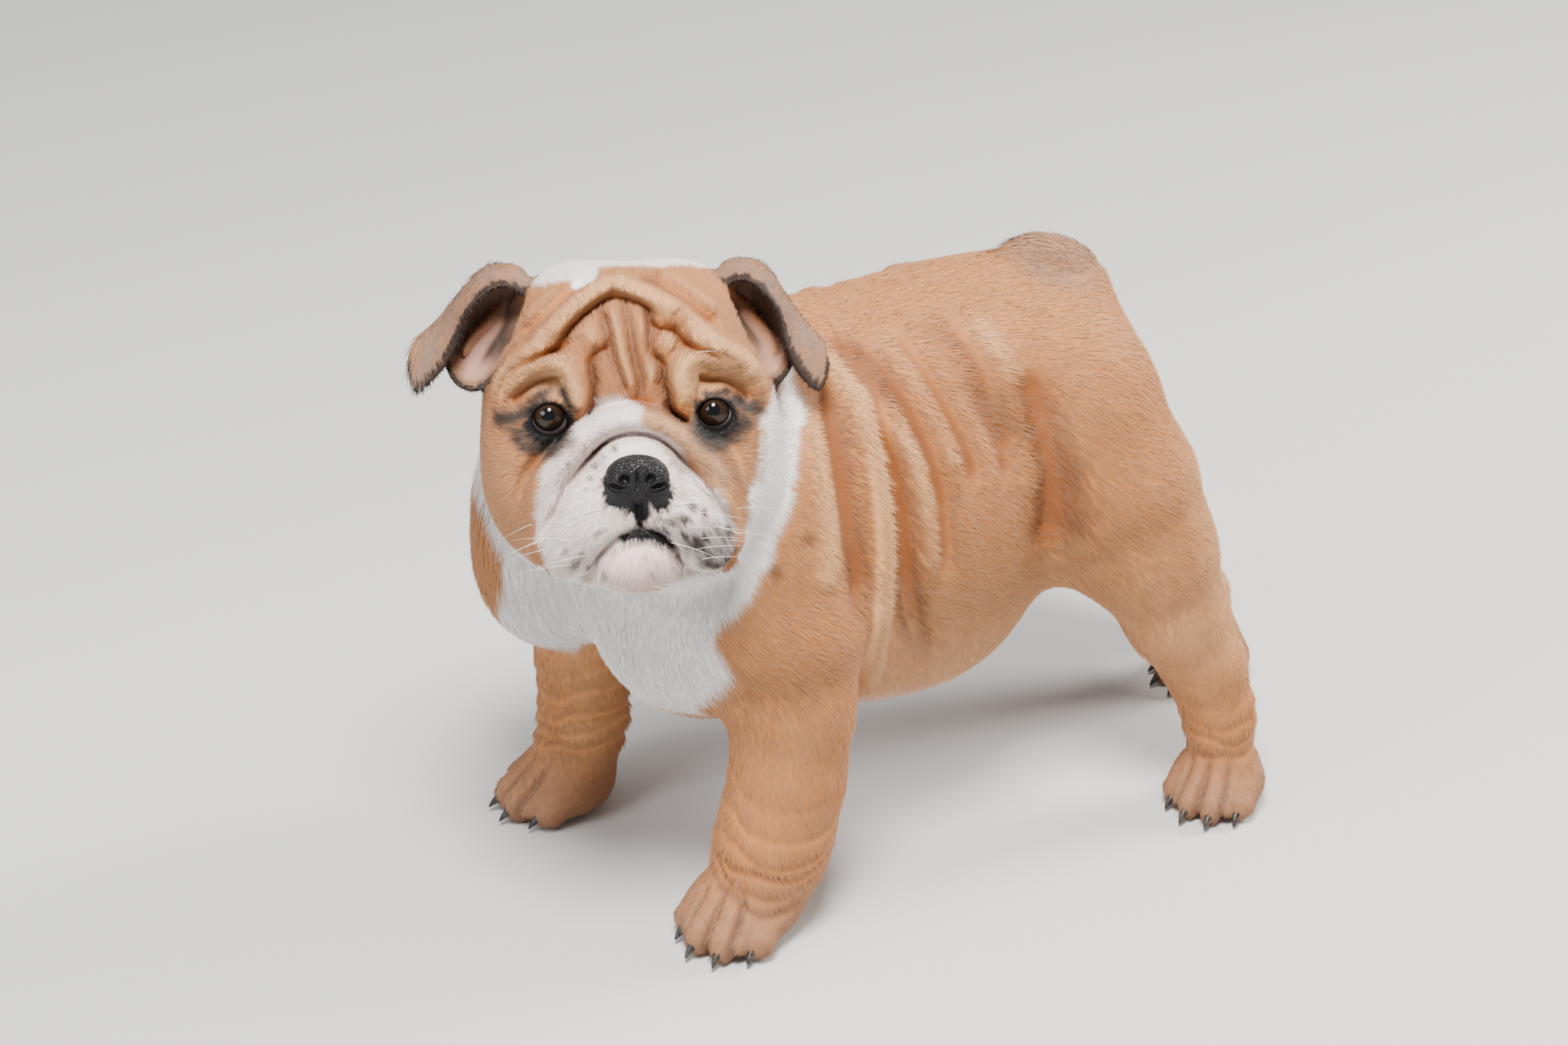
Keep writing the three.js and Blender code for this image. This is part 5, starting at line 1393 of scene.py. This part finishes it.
eye_finish = Finish("eye")
look = eye_finish.attribute("angle")
iris = eye_finish.add("ShaderNodeValToRGB", {"stops": [
    (0.0, (0.003, 0.003, 0.003, 1)), (0.30, (0.003, 0.003, 0.003, 1)), (0.35, (0.022, 0.011, 0.006, 1)),
    (0.72, (0.013, 0.007, 0.004, 1)), (0.84, (0.005, 0.004, 0.004, 1)), (0.92, (0.16, 0.14, 0.15, 1)),
    (1.0, (0.20, 0.14, 0.13, 1)),
]}, {0: look})
fibres = eye_finish.noise(1400, 4, 0.7)
fibre_share = eye_finish.clamp(fibres, 0.5, 0.85) * eye_finish.attribute("fibre")
iris = eye_finish.mix(iris, (0.040, 0.022, 0.012), fibre_share)
eye_material = eye_finish.surface(Base_Color=iris, Roughness=0.05, IOR=1.38)
for side, name in zip(SIDES, ("right", "left")):
    points, angle = eye_points()
    turned = points @ frame_along(GAZE).T
    globe = mesh_object(
        f"eyeball_{name}",
        from_head(turned + (side * EYE_X, EYE_Y, EYE_Z)),
        turned_grid_faces(EYE_RINGS - 1, EYE_SIDES),
    )
    store(globe.data, "angle", angle)
    store(globe.data, "fibre", 0.6 * ramp(angle, 0.3, 0.42) * (1 - ramp(angle, 0.66, 0.8)))
    globe.data.materials.append(eye_material)
    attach(globe, "root")
    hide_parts(f"eye_{name}")


# Nose
# Broad black leather set back between the eyes, pebbled and moist, with comma-shaped nostrils
# and a groove down the middle. It grows out of the skin of the muzzle.
NOSE_CELL = 0.45
NOSE_LOW = np.array([-22.0, -78.0, -34.0])
NOSE_BLOCKS = (7, 5, 6)
nose_form = Form()
nose_form.ball((1, -60, -11.5), (13.2, 9.8, 8.5), 4)
for side in SIDES:
    nose_form.ball((side * 7.8 + 1, -62.5, -14.8), (6.4, 6.8, 6.2), 2.5)
nose_form.ball((1, -61, -20), (6.5, 7, 7.5), 4)
for side in SIDES:
    nose_form.ball((side * 5.6 + 1, -70.5, -14.6), (2.3, 4.4, 2.6), 1.2, axes(0, 0, 30 * side), cut=True)
    nose_form.ball((side * 9.6 + 1, -68.5, -17.8), (4.4, 3.4, 1.2), 0.9, axes(0, 0, -14 * side), cut=True)
nose_form.ball((1, -70.5, -17), (0.8, 2.6, 8), 0.9, cut=True)


def nose_place(lattice):
    return (NOSE_LOW + lattice * NOSE_CELL).astype(np.float32), NOSE_CELL


nose_points, nose_faces = net(nose_form.at, nose_place, (0, 0, 0), NOSE_BLOCKS)
nose_points = drawn_onto(nose_form.at, nose_points, 2)
nose = mesh_object("nose_leather", from_head(nose_points), nose_faces.tolist())
nose_finish = Finish("nose leather")
nose_place_of = nose_finish.add("ShaderNodeTexCoord", output="Object")
pebbles = nose_finish.add("ShaderNodeTexVoronoi", {"feature": "SMOOTH_F1"}, {
    "Vector": nose_place_of, "Scale": 1150.0, "Smoothness": 0.6,
}, "Distance")
nose_bump = nose_finish.add("ShaderNodeBump", {"invert": True}, {
    "Strength": 0.7, "Distance": 0.0007, "Height": pebbles,
})
pebble_share = nose_finish.clamp(pebbles, 0.1, 0.7)
nose.data.materials.append(nose_finish.surface(
    Base_Color=nose_finish.mix((0.003, 0.003, 0.0035), (0.012, 0.011, 0.012), pebble_share),
    Roughness=nose_finish.noise(300, 2) * 0.25 + 0.16,
    Normal=nose_bump,
    Specular_IOR_Level=0.22,
))
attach(nose, "root")
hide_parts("nose")


# Claws
# Sixteen short blunt claws of dark horn, each curving down from its toe and a little outward.
CLAW_LENGTH = 8
CLAW_RADIUS = 2.9
CLAW_DROOP = 4.0
CLAW_RINGS = 12
CLAW_SIDES = 12


def claw_points():
    t = np.linspace(0, 1, CLAW_RINGS)
    radius = CLAW_RADIUS * np.sqrt(np.maximum(1 - t * t * 0.9, 0)) * (1 - 0.25 * t)
    around = np.arange(CLAW_SIDES) * 2 * math.pi / CLAW_SIDES
    along = (t * CLAW_LENGTH)[:, None]
    ring = np.stack(np.broadcast_arrays(
        radius[:, None] * np.cos(around) * 0.8,
        radius[:, None] * np.sin(around) - CLAW_DROOP * (t * t)[:, None],
        along,
    ), -1).reshape(-1, 3)
    ends = [(0, 0, -0.4), (0, -CLAW_DROOP, CLAW_LENGTH + 0.4)]
    return np.vstack([ring, ends])


claw_finish = Finish("claw horn")
claw_streak = claw_finish.noise(700, 3)
streak_share = claw_finish.clamp(claw_streak, 0.35, 0.8)
claw_bump = claw_finish.add("ShaderNodeBump", {}, {
    "Strength": 0.3, "Distance": 0.0004, "Height": claw_streak,
})
claw_material = claw_finish.surface(
    Base_Color=claw_finish.mix((0.012, 0.010, 0.010), (0.075, 0.058, 0.048), streak_share),
    Roughness=claw_streak * 0.3 + 0.25,
    Normal=claw_bump,
)
for paw in PAWS:
    for number, (side, ahead, radius) in enumerate(TOES, 1):
        base = paw_point(paw, side * 1.02, ahead + radius - 4.5, 8.5)
        front = paw_point(paw, side * 2.22, ahead + radius + 95, 2)
        shape = claw_points() @ frame_along(front - base).T + base
        claw = mesh_object(f"horn_{paw}_{number}", shape, [
            face[::-1] for face in turned_grid_faces(CLAW_RINGS, CLAW_SIDES)
        ])
        claw.data.materials.append(claw_material)
        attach(claw, "root")
        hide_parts(f"claw_{paw}_{number}")


# Floor and light
# A plain pale matt floor and a pale surround. The key light is a broad one high over the
# animal's left side, with a weaker one ahead of the face and one behind.
FLOOR_REACH = 3.0
floor_mesh = bpy.data.meshes.new("floor")
floor_mesh.from_pydata(
    [(x * FLOOR_REACH, y * FLOOR_REACH, 0) for x, y in ((-1, -1), (1, -1), (1, 1), (-1, 1))],
    [], [(0, 1, 2, 3)],
)
floor = bpy.data.objects.new("floor", floor_mesh)
bpy.context.scene.collection.objects.link(floor)
floor_finish = Finish("floor")
floor_mesh.materials.append(floor_finish.surface(Base_Color=(0.62, 0.62, 0.61, 1), Roughness=0.8))

# Each light's place, size, power and warmth
LIGHTS = {
    "key": ((0.8, -0.5, 2.0), 0.7, 104, (1.0, 0.97, 0.92)),
    "front": ((0.4, -1.9, 1.3), 1.0, 22, (0.97, 0.98, 1.0)),
    "back": ((0.2, 1.7, 1.3), 0.9, 60, (1.0, 0.97, 0.92)),
}
for name, (place, size, power, colour) in LIGHTS.items():
    lamp = bpy.data.lights.new(name, "AREA")
    lamp.shape = "DISK"
    lamp.size = size
    lamp.energy = power
    lamp.color = colour
    light = bpy.data.objects.new(name, lamp)
    light.location = place
    light.rotation_euler = (CAMERA_TARGET - Vector(place)).to_track_quat("-Z", "Y").to_euler()
    bpy.context.scene.collection.objects.link(light)
SURROUND_COLOUR = (0.85, 0.88, 0.92, 1)
SURROUND_STRENGTH = 0.45
world = bpy.data.worlds.new("studio")
world.use_nodes = True
surround = world.node_tree.nodes["Background"]
surround.inputs["Color"].default_value = SURROUND_COLOUR
surround.inputs["Strength"].default_value = SURROUND_STRENGTH
bpy.context.scene.world = world
